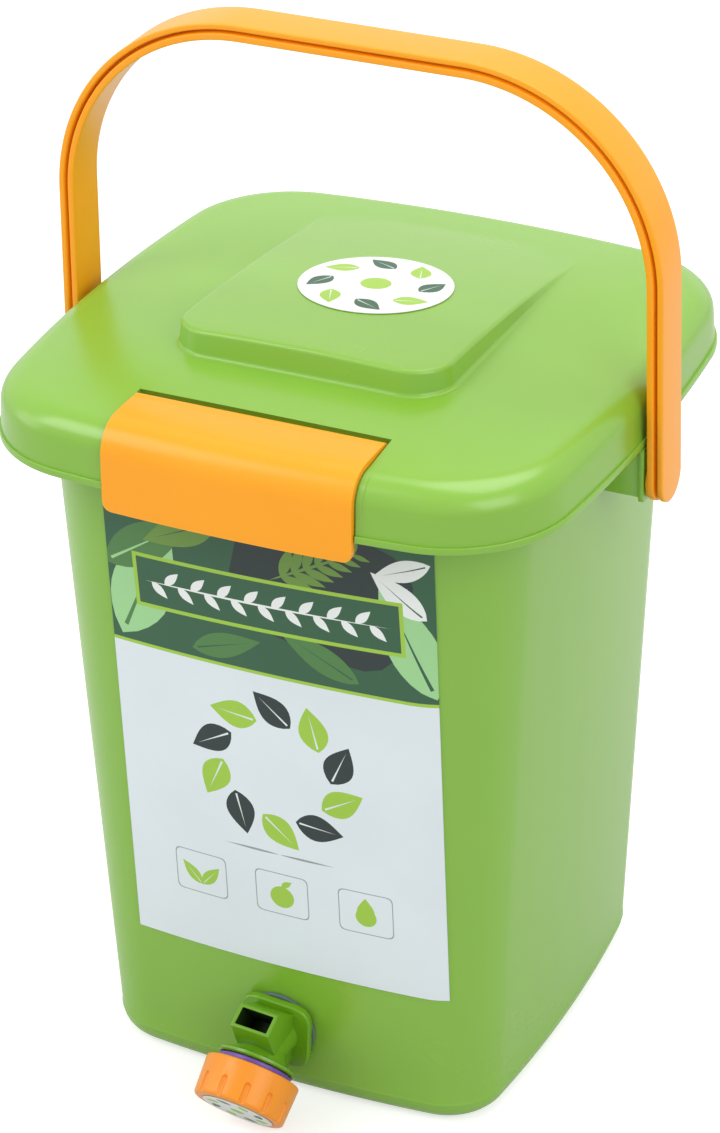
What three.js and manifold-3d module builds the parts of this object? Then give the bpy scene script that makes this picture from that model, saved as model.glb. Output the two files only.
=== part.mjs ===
// A kitchen compost bin: a tapered square bucket with a hinged lid, a front latch, a carrying bail,
// a drain tap and a strainer tray inside. Millimetres, +Z up, front towards -Y.
// The origin is the centre of the flat base.

import * as THREE from "three";
import { mergeVertices } from "three/addons/utils/BufferGeometryUtils.js";
import Module from "manifold-3d";

// Bucket: half widths at mid side, corner radii, and how far each side bows out
const BASE_HALF = 96.3;
const BASE_CORNER = 27;
const BASE_BOW = 6.6;
const MOUTH_HALF = 111.2;
const MOUTH_CORNER = 45.5;
const MOUTH_BOW = 7.7;
const RIM_Z = 316;
const WALL = 2.4;
const FLOOR = 2.8;
const BASE_FILLET = 6;
const RECESS_DEPTH = 1;
const RECESS_MARGIN = 14;
const GATE_PAD_R = 28;

// Rim flange, which stiffens the mouth and carries the lid's lip
const FLANGE_REACH = 13.2;
const FLANGE_DROP = 4.5;
const FLANGE_THICK = 2;
const FLANGE_SKIRT = 8;

// Lid
const LID_GAP = 2.7;
const LID_WALL = 2.4;
const LIP_STEP = 1;
const LIP_HEIGHT = 3.3;
const LIP_DROP = 10.7;
const LIP_CORNER = 54;
const LIP_BOW = 9.6;
const SKIRT_DRAFT = 0.7;
const SHOULDER_RISE = 14.7;
const SHOULDER_R = 12;
const SHOULDER_CORNER = 47;
const SHOULDER_BOW = 11.5;
const CROWN = 6.5;

// Raised wedge on the lid
const WEDGE_HALF = 62;
const WEDGE_FRONT = 62;
const WEDGE_BACK = 92;
const WEDGE_RISE = 9.6;
const WEDGE_CORNER = 17;
const WEDGE_EDGE = 3.2;
const WEDGE_DRAFT = 2.6;

// Lid seal and the channel that holds it
const SEAL_HEIGHT = 5.2;
const SEAL_WIDTH = 6;
const SEAL_SIDE_WALL = 2.2;
const SEAL_DEPTH = 4;

// Latch flap
const LATCH_HALF = 55.5;
const LATCH_PROUD = 2.4;
const LATCH_HINGE_PROUD = 0.8;
const LATCH_THICK = 3;
const LATCH_DROP = 8.5;
const LATCH_PIVOT_Y = 98.5;
const LATCH_ROLL_R = 3.9;
const LATCH_CORNER = 4;
const LATCH_PIN_R = 1.3;
const LATCH_PIN_SEAT = 3;
const LATCH_SIDE_GAP = 0.8;
const LATCH_ROLL_GAP = 2.6;
const POCKET_FLOOR = 2.2;
const POCKET_MARGIN = 3.5;
const HOOK_HEIGHT = 4;
const HOOK_HALF = 40;

// Rear hinges
const HINGE_X = 50;
const HINGE_BACK = 12.1;
const HINGE_ABOVE_LIP = 3.7;
const KNUCKLE_R = 4.2;
const KNUCKLE_WIDTH = 12;
const EAR_THICK = 4;
const EAR_DEPTH = 5;
const HINGE_PIN_R = 1.6;

// Carrying bail
const BAIL_GAP = 1.6;
const BAIL_THICK = 7.2;
const BAIL_WIDTH = 21.5;
const BAIL_RISE = 172.5;
const BAIL_CORNER = 88;
const BAIL_LEAN_DEG = 1.2;
const BAIL_OUTER_WALL = 2.5;
const BAIL_INNER_WALL = 3;
const BAIL_GROOVE_DEPTH = 5.5;
const BAIL_EDGE = 0.9;
const BOSS_PROUD = 0.9;
const PEG_R = 4;
const PEG_HEAD_R = 5.1;
const PEG_HEAD_LENGTH = 2.8;

// Side brackets that the bail's pegs snap into
const PIVOT_DROP = 27;
const BRACKET_HALF = 9;
const BRACKET_WEB = 2;
const BRACKET_PLATE = 2.4;
const BRACKET_PLATE_HALF = 10;
const BRACKET_WEB_BELOW = 7.5;
const BRACKET_PLATE_BELOW = 9.5;

// Printed labels
const LABEL_LEFT = -68.5;
const LABEL_RIGHT = 79.5;
const LABEL_BOTTOM = 69;
const LABEL_TOP = 296;
const LABEL_THICK = 0.3;
const LID_STICKER_R = 33;
const LID_STICKER_Y = 12.8;
const KNOB_STICKER_R = 16.2;

// Tap: its shank, seals and nut
const TAP_Z = 36;
const TAP_TURN_DEG = 4.5;
const TAP_REACH = 16.8;
const SHANK_R = 9.4;
const SHANK_LENGTH = 19;
const INLET_R = 5.6;
const WASHER_R = 18.2;
const WASHER_THICK = 1.7;
const TAP_FLANGE_HALF = 16.5;
const TAP_FLANGE_CORNER = 6.5;
const TAP_FLANGE_THICK = 3.8;
const NUT_R = 15.5;
const NUT_THICK = 7;
const NUT_LOBES = 6;
const NUT_LOBE_R = 3.2;

// Tap: its housing, spout and valve
const KNOB_TILT_DEG = 36;
const SPOUT_WIDTH = 18.2;
const SPOUT_WALL = 1.5;
const SPOUT_HOLE_DEPTH = 8.4;
const SPOUT_HOLE_SHARE = -0.235;
const NECK_R = 8.6;
const BARREL_R = 13;
const BARREL_BORE_R = 8;
const BARREL_FRONT = 16.5;
const BORE_END = 9.5;
const COLLAR_R = 17.8;
const COLLAR_THICK = 2.4;
const COLLAR_FRONT = 7.2;
const RING_R = 16.6;
const RING_THICK = 2.2;
const PLUNGER_R = 7.7;
const PLUNGER_STEM_R = 4.5;
const ORING_R = 1.3;
const VALVE_TRAVEL = 5;
const KNOB_START = 10.1;
const KNOB_LENGTH = 20;
const KNOB_R = 21.4;
const KNOB_FACE_R = 20.8;
const KNOB_EDGE = 1.6;
const KNOB_WALL = 2.6;
const KNOB_FACE_THICK = 2.6;
const KNOB_SLOTS = 12;
const KNOB_SLOT_R = 1.4;
const KNOB_SLOT_LENGTH = 7;
const KNOB_SLOT_DEPTH = 0.5;

// Strainer tray
const TRAY_Z = 58;
const TRAY_THICK = 2;
const TRAY_GAP = 1.6;
const TRAY_RIM = 9;
const TRAY_LEG_R = 5;
const TRAY_LEG_REACH = 62;
const TRAY_HOLE_R = 2.6;
const TRAY_HOLE_PITCH = 21;
const TRAY_HOLES_EACH_WAY = 3;
const TRAY_GRIP_R = 7;
const TRAY_GRIP_HEIGHT = 16;

// Clearance between pieces that touch, and the overrun of every cutting tool
const FIT = 0.3;
const OVERRUN = 4;

// Where a smooth outline is cut into straight facets
const SIDE_STEPS = 4;
const CORNER_STEPS = 5;
const SHOULDER_STEPS = 5;
const HOLLOW_SHOULDER_STEPS = 3;
const ROUND_STEPS = 24;
const SMALL_ROUND_STEPS = 12;
const HOLE_STEPS = 6;

// Outline of the tap's housing in its own plane, in shares of the tap's reach from the valve's axis
const HOUSING_SHARES = [
  [-0.28, 1.47],
  [-0.88, 1.2],
  [-0.38, 0.05],
  [-0.08, -0.65],
  [0.64, -0.74],
  [0.64, 0.8],
];

const wasm = await Module();
wasm.setup();

const rad = THREE.MathUtils.degToRad;
const vec = (x, y, z) => new THREE.Vector3(x, y, z);
const flatXY = (p) => new THREE.Vector2(p.x, p.y);
const flatYZ = (p) => new THREE.Vector2(p.y, p.z);
const flatXZ = (p) => new THREE.Vector2(p.x, p.z);

// Heights and half widths that follow from the driving sizes
const FLANGE_HALF = MOUTH_HALF + FLANGE_REACH;
const FLANGE_Z = RIM_Z - FLANGE_DROP;
const SKIRT_HALF = FLANGE_HALF + LID_GAP + LID_WALL;
const LIP_HALF = SKIRT_HALF + LIP_STEP;
const LIP_Z = RIM_Z - LIP_DROP;
const SHOULDER_Z = LIP_Z + SHOULDER_RISE;
const SHOULDER_CENTRE = SKIRT_HALF - SKIRT_DRAFT - SHOULDER_R;
const SHOULDER_TOP = SHOULDER_Z + SHOULDER_R;
const CROWN_Z = SHOULDER_TOP + CROWN;
const PIVOT_Z = RIM_Z - PIVOT_DROP;
const HINGE_Y = FLANGE_HALF + HINGE_BACK;
const HINGE_Z = LIP_Z + HINGE_ABOVE_LIP;
const BAIL_OUTER = LIP_HALF + BAIL_GAP + BAIL_THICK;
const BAIL_INNER = LIP_HALF + BAIL_GAP;

// A closed solid from a three.js geometry, turned so that its faces point out
function solidOf(geometry) {
  const bare = geometry.clone();
  bare.deleteAttribute("normal");
  bare.deleteAttribute("uv");
  const merged = mergeVertices(bare);
  const make = (triVerts) =>
    new wasm.Manifold(
      new wasm.Mesh({
        numProp: 3,
        vertProperties: Float32Array.from(merged.attributes.position.array),
        triVerts,
      }),
    );
  const triVerts = Uint32Array.from(merged.index.array);
  const made = make(triVerts);
  if (made.volume() >= 0) return made;
  return make(triVerts.reverse());
}

// A three.js geometry from a solid
function geometryOf(solid) {
  const mesh = solid.getMesh();
  const geometry = new THREE.BufferGeometry();
  geometry.setAttribute("position", new THREE.BufferAttribute(mesh.vertProperties, 3));
  geometry.setIndex(new THREE.BufferAttribute(mesh.triVerts, 1));
  return geometry;
}

const join = (...solids) => solids.reduce((a, b) => a.add(b));
const cut = (base, ...tools) => tools.reduce((a, b) => a.subtract(b), base);

// A solid moved by a matrix
function moved(solid, matrix) {
  return solidOf(geometryOf(solid).applyMatrix4(matrix));
}

// A solid through a row of rings, each with the same number of points, closed by flat ends
function loft(rings, flat = flatXY) {
  const count = rings[0].length;
  const positions = rings.flat().flatMap((p) => [p.x, p.y, p.z]);
  const index = [];
  for (let i = 0; i < rings.length - 1; i++)
    for (let j = 0; j < count; j++) {
      const a = i * count + j;
      const b = i * count + ((j + 1) % count);
      index.push(a, b, b + count, a, b + count, a + count);
    }
  const close = (ring, first, reversed) => {
    const outline = ring.map(flat);
    const outlineTurns = Math.sign(THREE.ShapeUtils.area(outline));
    for (const face of THREE.ShapeUtils.triangulateShape(outline, [])) {
      const faceTurns = Math.sign(THREE.ShapeUtils.area(face.map((k) => outline[k])));
      const corners = face.map((k) => first + k);
      if ((faceTurns === outlineTurns) === reversed) corners.reverse();
      index.push(...corners);
    }
  };
  close(rings[0], 0, true);
  close(rings.at(-1), (rings.length - 1) * count, false);
  const geometry = new THREE.BufferGeometry();
  geometry.setAttribute("position", new THREE.Float32BufferAttribute(positions, 3));
  geometry.setIndex(index);
  return solidOf(geometry);
}

// A square with bowed sides and round corners, as arcs that run into each other
class BowedSquare {
  constructor(half, corner, bow) {
    this.half = half;
    this.corner = corner;
    this.sideR = (half * half + bow * bow) / (2 * bow);
    this.sideCentre = half - this.sideR;
    const reach = this.sideR - corner;
    this.cornerCentre =
      (this.sideCentre + Math.sqrt(2 * reach * reach - this.sideCentre * this.sideCentre)) / 2;
    this.sideAngle = Math.atan2(this.cornerCentre, this.cornerCentre - this.sideCentre);
  }

  // Points round the outline at a height, counter-clockwise from the middle of the right side
  ring(z) {
    const quarter = [];
    for (let i = 0; i < SIDE_STEPS; i++) {
      const a = this.sideAngle * ((2 * i) / SIDE_STEPS - 1);
      quarter.push([this.sideCentre + this.sideR * Math.cos(a), this.sideR * Math.sin(a)]);
    }
    const sweep = Math.PI / 2 - 2 * this.sideAngle;
    for (let i = 0; i < CORNER_STEPS; i++) {
      const a = this.sideAngle + (sweep * i) / CORNER_STEPS;
      const x = this.cornerCentre + this.corner * Math.cos(a);
      const y = this.cornerCentre + this.corner * Math.sin(a);
      quarter.push([x, y]);
    }
    const turns = [
      ([x, y]) => vec(x, y, z),
      ([x, y]) => vec(-y, x, z),
      ([x, y]) => vec(-x, -y, z),
      ([x, y]) => vec(y, -x, z),
    ];
    return turns.flatMap((turn) => quarter.map(turn));
  }

  // Where the front side lies at a distance from the middle
  frontY(x) {
    const across = Math.abs(x);
    if (across <= this.sideR * Math.sin(this.sideAngle))
      return -this.sideCentre - Math.sqrt(this.sideR ** 2 - across ** 2);
    return -this.cornerCentre - Math.sqrt(this.corner ** 2 - (across - this.cornerCentre) ** 2);
  }
}

// A ring-shaped wall between two outlines
function wallBetween(outer, inner, low, high) {
  const hole = loft([inner.ring(low - OVERRUN), inner.ring(high + OVERRUN)]);
  return cut(loft([outer.ring(low), outer.ring(high)]), hole);
}

// A round bar from one point to another
function rod(radius, from, to, steps = SMALL_ROUND_STEPS) {
  const along = to.clone().sub(from);
  const geometry = new THREE.CylinderGeometry(radius, radius, along.length(), steps);
  const turn = new THREE.Quaternion().setFromUnitVectors(vec(0, 1, 0), along.normalize());
  const middle = from.clone().add(to).multiplyScalar(0.5);
  geometry.applyQuaternion(turn);
  geometry.translate(middle.x, middle.y, middle.z);
  return solidOf(geometry);
}

// A rectangular block between two corners
function block(low, high) {
  const size = high.clone().sub(low);
  const geometry = new THREE.BoxGeometry(size.x, size.y, size.z);
  const middle = low.clone().add(high).multiplyScalar(0.5);
  geometry.translate(middle.x, middle.y, middle.z);
  return solidOf(geometry);
}

// A side-view outline of [y, z] points drawn out along X
function alongX(outline, left, right) {
  const at = (x) => outline.map(([y, z]) => vec(x, y, z));
  return loft([at(left), at(right)], flatYZ);
}

// A thin sheet between a lower and an upper surface, on a grid of places
function sheet(places, lower, upper) {
  const rows = places.length;
  const columns = places[0].length;
  const positions = [];
  for (const surface of [lower, upper])
    for (const row of places)
      for (const place of row) positions.push(...surface(place).toArray());
  const at = (side, i, j) => side * rows * columns + i * columns + j;
  const index = [];
  const quad = (a, b, c, d) => index.push(a, b, c, a, c, d);
  for (let i = 0; i < rows - 1; i++)
    for (let j = 0; j < columns - 1; j++) {
      quad(at(0, i, j), at(0, i, j + 1), at(0, i + 1, j + 1), at(0, i + 1, j));
      quad(at(1, i, j), at(1, i + 1, j), at(1, i + 1, j + 1), at(1, i, j + 1));
    }
  for (let j = 0; j < columns - 1; j++) {
    quad(at(0, 0, j), at(1, 0, j), at(1, 0, j + 1), at(0, 0, j + 1));
    quad(at(0, rows - 1, j + 1), at(1, rows - 1, j + 1), at(1, rows - 1, j), at(0, rows - 1, j));
  }
  for (let i = 0; i < rows - 1; i++) {
    quad(at(0, i + 1, 0), at(1, i + 1, 0), at(1, i, 0), at(0, i, 0));
    quad(at(0, i, columns - 1), at(1, i, columns - 1), at(1, i + 1, columns - 1), at(0, i + 1, columns - 1));
  }
  const geometry = new THREE.BufferGeometry();
  geometry.setAttribute("position", new THREE.Float32BufferAttribute(positions, 3));
  geometry.setIndex(index);
  return solidOf(geometry);
}

// The bucket's wall outline at a height, moved out by a distance
function wallShape(z, out = 0) {
  const share = z / RIM_Z;
  const half = THREE.MathUtils.lerp(BASE_HALF, MOUTH_HALF, share);
  const corner = THREE.MathUtils.lerp(BASE_CORNER, MOUTH_CORNER, share);
  const bow = THREE.MathUtils.lerp(BASE_BOW, MOUTH_BOW, share);
  return new BowedSquare(half + out, corner + out, bow);
}

// The outline at the lid's lip, moved in by a distance
function lipShape(inset) {
  return new BowedSquare(LIP_HALF - inset, LIP_CORNER - inset, LIP_BOW);
}

// How far the lid's front falls back from its middle at a distance across
function frontFall(x) {
  return lipShape(0).frontY(x) + LIP_HALF;
}

// Height of the lid's crowned top at a distance from its centre
function crownAt(distance) {
  return CROWN_Z - CROWN * (distance / SHOULDER_CENTRE) ** 2;
}

// Half section of the lid's outside from the lip up to near the centre, moved out by a distance,
// which may fade over the crown to another distance
function lidSection(out, from, to, shoulderSteps = SHOULDER_STEPS, endOut = out) {
  const shoulderEndDeg = 84;
  const crownSteps = 2;
  const points = [[SKIRT_HALF + out, from]];
  for (let i = 0; i <= shoulderSteps; i++) {
    const a = rad((shoulderEndDeg * i) / shoulderSteps);
    const reach = SHOULDER_CENTRE + (SHOULDER_R + out) * Math.cos(a);
    points.push([reach, SHOULDER_Z + (SHOULDER_R + out) * Math.sin(a)]);
  }
  const start = points.at(-1)[0];
  for (let i = 1; i <= crownSteps; i++) {
    const reach = THREE.MathUtils.lerp(start, to, i / crownSteps);
    points.push([reach, crownAt(reach) + THREE.MathUtils.lerp(out, endOut, i / crownSteps)]);
  }
  return points;
}

// The lid's outline at a point of its half section
function lidShape([reach, z]) {
  const climb = THREE.MathUtils.clamp((z - LIP_Z) / (SHOULDER_TOP - LIP_Z), 0, 1);
  const inward = Math.min(reach / SHOULDER_CENTRE, 1);
  const lipCorner = LIP_CORNER - (LIP_HALF - Math.max(reach, SHOULDER_CENTRE));
  const corner = THREE.MathUtils.lerp(lipCorner, SHOULDER_CORNER, climb) * inward;
  const bow = THREE.MathUtils.lerp(LIP_BOW, SHOULDER_BOW, climb) * inward;
  return new BowedSquare(reach, corner, bow);
}

// The whole lid as a full body, moved out by a distance and started at a height
function lidBody(out, from, shoulderSteps = SHOULDER_STEPS) {
  const centreShare = 0.12;
  const section = lidSection(out, from, SHOULDER_CENTRE * centreShare, shoulderSteps);
  return loft(section.map((point) => lidShape(point).ring(point[1])));
}

// Height of the wedge's top, which rises towards the front
function wedgeTop(x, y) {
  const rise = (WEDGE_RISE * (WEDGE_BACK - y)) / (WEDGE_BACK + WEDGE_FRONT);
  return crownAt(Math.hypot(x, y)) + Math.max(rise, 0);
}

// The raised wedge as a full body, made smaller on every side by a wall
function wedgeBody(inset) {
  const edgeShares = [1, 0.55, 0.2, 0];
  const acrossShares = [-1, -0.5, 0, 0.5, 1];
  const front = inset - WEDGE_FRONT;
  const straight = front + WEDGE_CORNER;
  const frontRows = 3;
  const straightRows = 4;
  const low = SHOULDER_Z;
  const rows = [];
  for (const share of edgeShares.slice(0, -1)) {
    const y = front + WEDGE_EDGE * (1 - share);
    rows.push([y, share]);
  }
  for (let i = 0; i <= frontRows; i++)
    rows.push([THREE.MathUtils.lerp(front + WEDGE_EDGE, straight, i / frontRows), 0]);
  for (let i = 1; i <= straightRows; i++)
    rows.push([THREE.MathUtils.lerp(straight, WEDGE_BACK, i / straightRows), 0]);
  const rings = rows.map(([y, drop]) => {
    const inCorner = Math.max(straight - y, 0);
    const round = WEDGE_CORNER - Math.sqrt(Math.max(WEDGE_CORNER ** 2 - inCorner ** 2, 0));
    const half = WEDGE_HALF - inset - round;
    const fall = drop * drop * WEDGE_RISE;
    const top = (x) => Math.max(wedgeTop(x, y) - inset - fall, low + OVERRUN);
    const side = (turn) =>
      edgeShares.map((share) => {
        const x = turn * (half - WEDGE_EDGE * (1 - share));
        return vec(x, y, top(x) - WEDGE_EDGE * share * share);
      });
    const middle = acrossShares.slice(1, -1).map((share) => {
      const x = share * (half - WEDGE_EDGE);
      return vec(x, y, top(x));
    });
    return [
      vec(-half - WEDGE_DRAFT, y, low),
      ...side(-1),
      ...middle,
      ...side(1).reverse(),
      vec(half + WEDGE_DRAFT, y, low),
    ];
  });
  return loft(rings, flatXZ);
}

// A band over the lid's front, between two distances out from its surface, sunk towards the latch's hinge
function frontBand(halfWidth, innerOut, outerOut, from, reach, cornerR = 0) {
  const cornerShares = cornerR ? [0.3, 0.7, 1] : [];
  const steps = 6;
  const sunk = LATCH_PROUD - LATCH_HINGE_PROUD;
  const inner = halfWidth - cornerR;
  const stations = [];
  for (let i = 0; i <= steps; i++) stations.push(inner * ((2 * i) / steps - 1));
  const corner = cornerShares.map((share) => inner + cornerR * share);
  const xs = [...corner.map((x) => -x).reverse(), ...stations, ...corner];
  const rings = xs.map((x) => {
    const past = Math.max(Math.abs(x) - inner, 0);
    const lift = cornerR ? cornerR - Math.sqrt(Math.max(cornerR ** 2 - past ** 2, 0)) : 0;
    const line = (out) => lidSection(out, from + lift, reach, SHOULDER_STEPS, out - sunk);
    const section = [...line(outerOut), ...line(innerOut).reverse()];
    return section.map(([distance, z]) => vec(x, frontFall(x) - distance, z));
  });
  return loft(rings, flatYZ);
}

// The latch's hinge line
const LATCH_PIVOT_Z = crownAt(LATCH_PIVOT_Y) + LATCH_HINGE_PROUD - LATCH_ROLL_R;
function latchLine(radius, half, steps) {
  const at = (x) => vec(x, -LATCH_PIVOT_Y, LATCH_PIVOT_Z);
  return rod(radius, at(-half), at(half), steps);
}

function makeBucket(tapMatrix) {
  const filletSteps = 4;
  const outerRings = [];
  for (let i = 0; i <= filletSteps; i++) {
    const a = ((Math.PI / 2) * i) / filletSteps;
    const z = BASE_FILLET * (1 - Math.cos(a));
    outerRings.push(wallShape(z, BASE_FILLET * (Math.sin(a) - 1)).ring(z));
  }
  const outer = loft([...outerRings, wallShape(RIM_Z).ring(RIM_Z)]);
  const cavity = loft([
    wallShape(FLOOR, -BASE_FILLET).ring(FLOOR),
    wallShape(FLOOR + BASE_FILLET, -WALL).ring(FLOOR + BASE_FILLET),
    wallShape(RIM_Z + OVERRUN, -WALL).ring(RIM_Z + OVERRUN),
  ]);
  const flangeShape = (inset) => lipShape(LIP_HALF - FLANGE_HALF + inset);
  const skirt = wallBetween(
    flangeShape(0),
    flangeShape(FLANGE_THICK),
    FLANGE_Z - FLANGE_SKIRT,
    FLANGE_Z,
  );
  const flangeLow = FLANGE_Z - FLANGE_THICK;
  const shelf = loft([flangeShape(0).ring(flangeLow), flangeShape(0).ring(FLANGE_Z)]);
  const sides = [-1, 1].map((side) => makeBracket(side));
  const ears = [-HINGE_X, HINGE_X].flatMap((x) => makeEars(x));
  const recess = cut(
    loft([wallShape(0, -RECESS_MARGIN).ring(-OVERRUN), wallShape(0, -RECESS_MARGIN).ring(RECESS_DEPTH)]),
    rod(GATE_PAD_R, vec(0, 0, -2 * OVERRUN), vec(0, 0, OVERRUN), ROUND_STEPS),
  );
  const tapHole = moved(
    rod(SHANK_R + FIT, vec(0, -OVERRUN, 0), vec(0, SHANK_LENGTH, 0), ROUND_STEPS),
    tapMatrix,
  );
  const pegHole = rod(PEG_R + FIT, vec(-BAIL_OUTER, 0, PIVOT_Z), vec(BAIL_OUTER, 0, PIVOT_Z), ROUND_STEPS);
  const full = join(outer, shelf, skirt, ...sides, ...ears);
  return cut(full, cavity, recess, tapHole, cut(pegHole, outer));
}

// One side bracket: two webs from the wall and the plate that the bail's peg goes through
function makeBracket(side) {
  const plateOut = BAIL_INNER - BOSS_PROUD - FIT * 2;
  const plateIn = plateOut - BRACKET_PLATE;
  const wallIn = wallShape(PIVOT_Z).half - WALL;
  const top = FLANGE_Z - FLANGE_THICK / 2;
  const box = (x0, x1, y0, y1, z0) => {
    const low = vec(Math.min(side * x0, side * x1), y0, z0);
    return block(low, vec(Math.max(side * x0, side * x1), y1, top));
  };
  const webLow = PIVOT_Z - BRACKET_WEB_BELOW;
  const plateLow = PIVOT_Z - BRACKET_PLATE_BELOW;
  const plateTop = LIP_Z - FIT * 2;
  const plateFull = box(plateIn, plateOut, -BRACKET_PLATE_HALF, BRACKET_PLATE_HALF, plateLow);
  const overLip = block(
    vec(-BAIL_OUTER, -BRACKET_PLATE_HALF - OVERRUN, plateTop),
    vec(BAIL_OUTER, BRACKET_PLATE_HALF + OVERRUN, RIM_Z),
  );
  const underFlange = block(
    vec(-FLANGE_HALF + FIT, -BRACKET_PLATE_HALF - 2 * OVERRUN, plateTop - OVERRUN),
    vec(FLANGE_HALF - FIT, BRACKET_PLATE_HALF + 2 * OVERRUN, RIM_Z + OVERRUN),
  );
  const nearWeb = box(wallIn, plateIn + FIT, -BRACKET_HALF, BRACKET_WEB - BRACKET_HALF, webLow);
  const farWeb = box(wallIn, plateIn + FIT, BRACKET_HALF - BRACKET_WEB, BRACKET_HALF, webLow);
  return cut(join(plateFull, nearWeb, farWeb), cut(overLip, underFlange));
}

// The two ears of one rear hinge on the bucket
function makeEars(x) {
  const inside = KNUCKLE_WIDTH / 2 + FIT;
  const wallY = wallShape(LIP_Z).half - WALL / 2;
  const top = LIP_Z - FIT * 2;
  const neck = HINGE_Y - KNUCKLE_R;
  const earOf = (side) => {
    const near = x + side * inside;
    const far = x + side * (inside + EAR_THICK);
    const left = Math.min(near, far);
    const right = Math.max(near, far);
    const arm = block(vec(left, wallY, top - EAR_DEPTH), vec(right, HINGE_Y, top));
    const post = block(vec(left, neck, top - EAR_DEPTH), vec(right, HINGE_Y + KNUCKLE_R, HINGE_Z));
    const eye = rod(KNUCKLE_R, vec(left, HINGE_Y, HINGE_Z), vec(right, HINGE_Y, HINGE_Z), ROUND_STEPS);
    return join(arm, post, eye);
  };
  const hole = hingeLine(x, HINGE_PIN_R + FIT, inside + EAR_THICK + OVERRUN);
  return [cut(earOf(-1), hole), cut(earOf(1), hole)];
}

// A round bar on the rear hinge axis, centred on one hinge
function hingeLine(x, radius, half) {
  return rod(radius, vec(x - half, HINGE_Y, HINGE_Z), vec(x + half, HINGE_Y, HINGE_Z));
}

function makeLid() {
  const outer = lidBody(0, LIP_Z);
  const lip = wallBetween(lipShape(0), lipShape(LIP_STEP + LID_WALL), LIP_Z, LIP_Z + LIP_HEIGHT);
  const hollow = lidBody(-LID_WALL, LIP_Z - OVERRUN, HOLLOW_SHOULDER_STEPS);
  const shell = cut(join(outer, wedgeBody(0)), hollow, wedgeBody(LID_WALL));

  const channelHalf = SEAL_WIDTH / 2 + FIT;
  const channelLow = RIM_Z + SEAL_HEIGHT - SEAL_DEPTH + FIT;
  const ribs = wallBetween(
    sealShape(channelHalf + SEAL_SIDE_WALL),
    sealShape(-channelHalf - SEAL_SIDE_WALL),
    channelLow,
    CROWN_Z,
  );
  const channel = wallBetween(
    sealShape(channelHalf),
    sealShape(-channelHalf),
    channelLow - OVERRUN,
    RIM_Z + FIT + SEAL_HEIGHT + FIT,
  );

  const pocketOut = LATCH_PROUD - LATCH_THICK - FIT;
  const grooveR = LATCH_ROLL_R + LATCH_ROLL_GAP;
  const backing = frontBand(
    LATCH_HALF + POCKET_MARGIN,
    pocketOut - POCKET_FLOOR,
    pocketOut + POCKET_FLOOR / 2,
    LIP_Z,
    LATCH_PIVOT_Y - grooveR - POCKET_FLOOR,
  );
  const ridge = latchLine(grooveR + POCKET_FLOOR, LATCH_HALF + POCKET_MARGIN, ROUND_STEPS);
  const pocket = frontBand(
    LATCH_HALF + LATCH_SIDE_GAP,
    pocketOut,
    LATCH_PROUD + OVERRUN,
    LIP_Z - OVERRUN,
    LATCH_PIVOT_Y,
  );
  const groove = latchLine(grooveR, LATCH_HALF + LATCH_SIDE_GAP, ROUND_STEPS);
  const pinHole = latchLine(LATCH_PIN_R + FIT, LATCH_HALF + LATCH_SIDE_GAP + LATCH_PIN_SEAT + FIT);
  const inside = join(ribs, backing, ridge).intersect(outer);

  const knuckles = [-HINGE_X, HINGE_X].map((x) => makeKnuckle(x));
  const whole = join(shell, lip, inside, ...knuckles);
  return cut(whole, channel, pocket, groove, pinHole);
}

// The lid's half of one rear hinge
function makeKnuckle(x) {
  const left = x - KNUCKLE_WIDTH / 2;
  const right = x + KNUCKLE_WIDTH / 2;
  const root = -lipShape(LIP_STEP + LID_WALL / 2).frontY(HINGE_X + KNUCKLE_WIDTH / 2);
  const low = HINGE_Z - KNUCKLE_R + FIT * 2;
  const arm = block(vec(left, root, low), vec(right, HINGE_Y, HINGE_Z + KNUCKLE_R));
  const eye = rod(KNUCKLE_R, vec(left, HINGE_Y, HINGE_Z), vec(right, HINGE_Y, HINGE_Z), ROUND_STEPS);
  return cut(join(arm, eye), hingeLine(x, HINGE_PIN_R + FIT, KNUCKLE_WIDTH));
}

// The outline over the middle of the bucket's rim, moved out by a distance
function sealShape(out) {
  return wallShape(RIM_Z, out - WALL / 2);
}

function makeSeal() {
  const low = RIM_Z + FIT;
  return wallBetween(sealShape(SEAL_WIDTH / 2), sealShape(-SEAL_WIDTH / 2), low, low + SEAL_HEIGHT);
}

function makeLatch() {
  const low = LIP_Z - LATCH_DROP;
  const flap = frontBand(
    LATCH_HALF,
    LATCH_PROUD - LATCH_THICK,
    LATCH_PROUD,
    low,
    LATCH_PIVOT_Y,
    LATCH_CORNER,
  );
  const roll = latchLine(LATCH_ROLL_R, LATCH_HALF, ROUND_STEPS);
  const faceY = SKIRT_HALF + LATCH_PROUD - LATCH_THICK / 2 - frontFall(HOOK_HALF);
  const hookY = FLANGE_HALF + FIT * 2;
  const hookLow = low + LATCH_THICK / 2;
  const hook = alongX(
    [
      [-faceY, hookLow],
      [-hookY, hookLow + HOOK_HEIGHT / 2],
      [-hookY, hookLow + HOOK_HEIGHT],
      [-faceY, hookLow + HOOK_HEIGHT],
    ],
    -HOOK_HALF,
    HOOK_HALF,
  );
  const pinHole = latchLine(LATCH_PIN_R + FIT, LATCH_HALF + OVERRUN);
  return cut(join(flap, roll, hook), pinHole);
}

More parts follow.
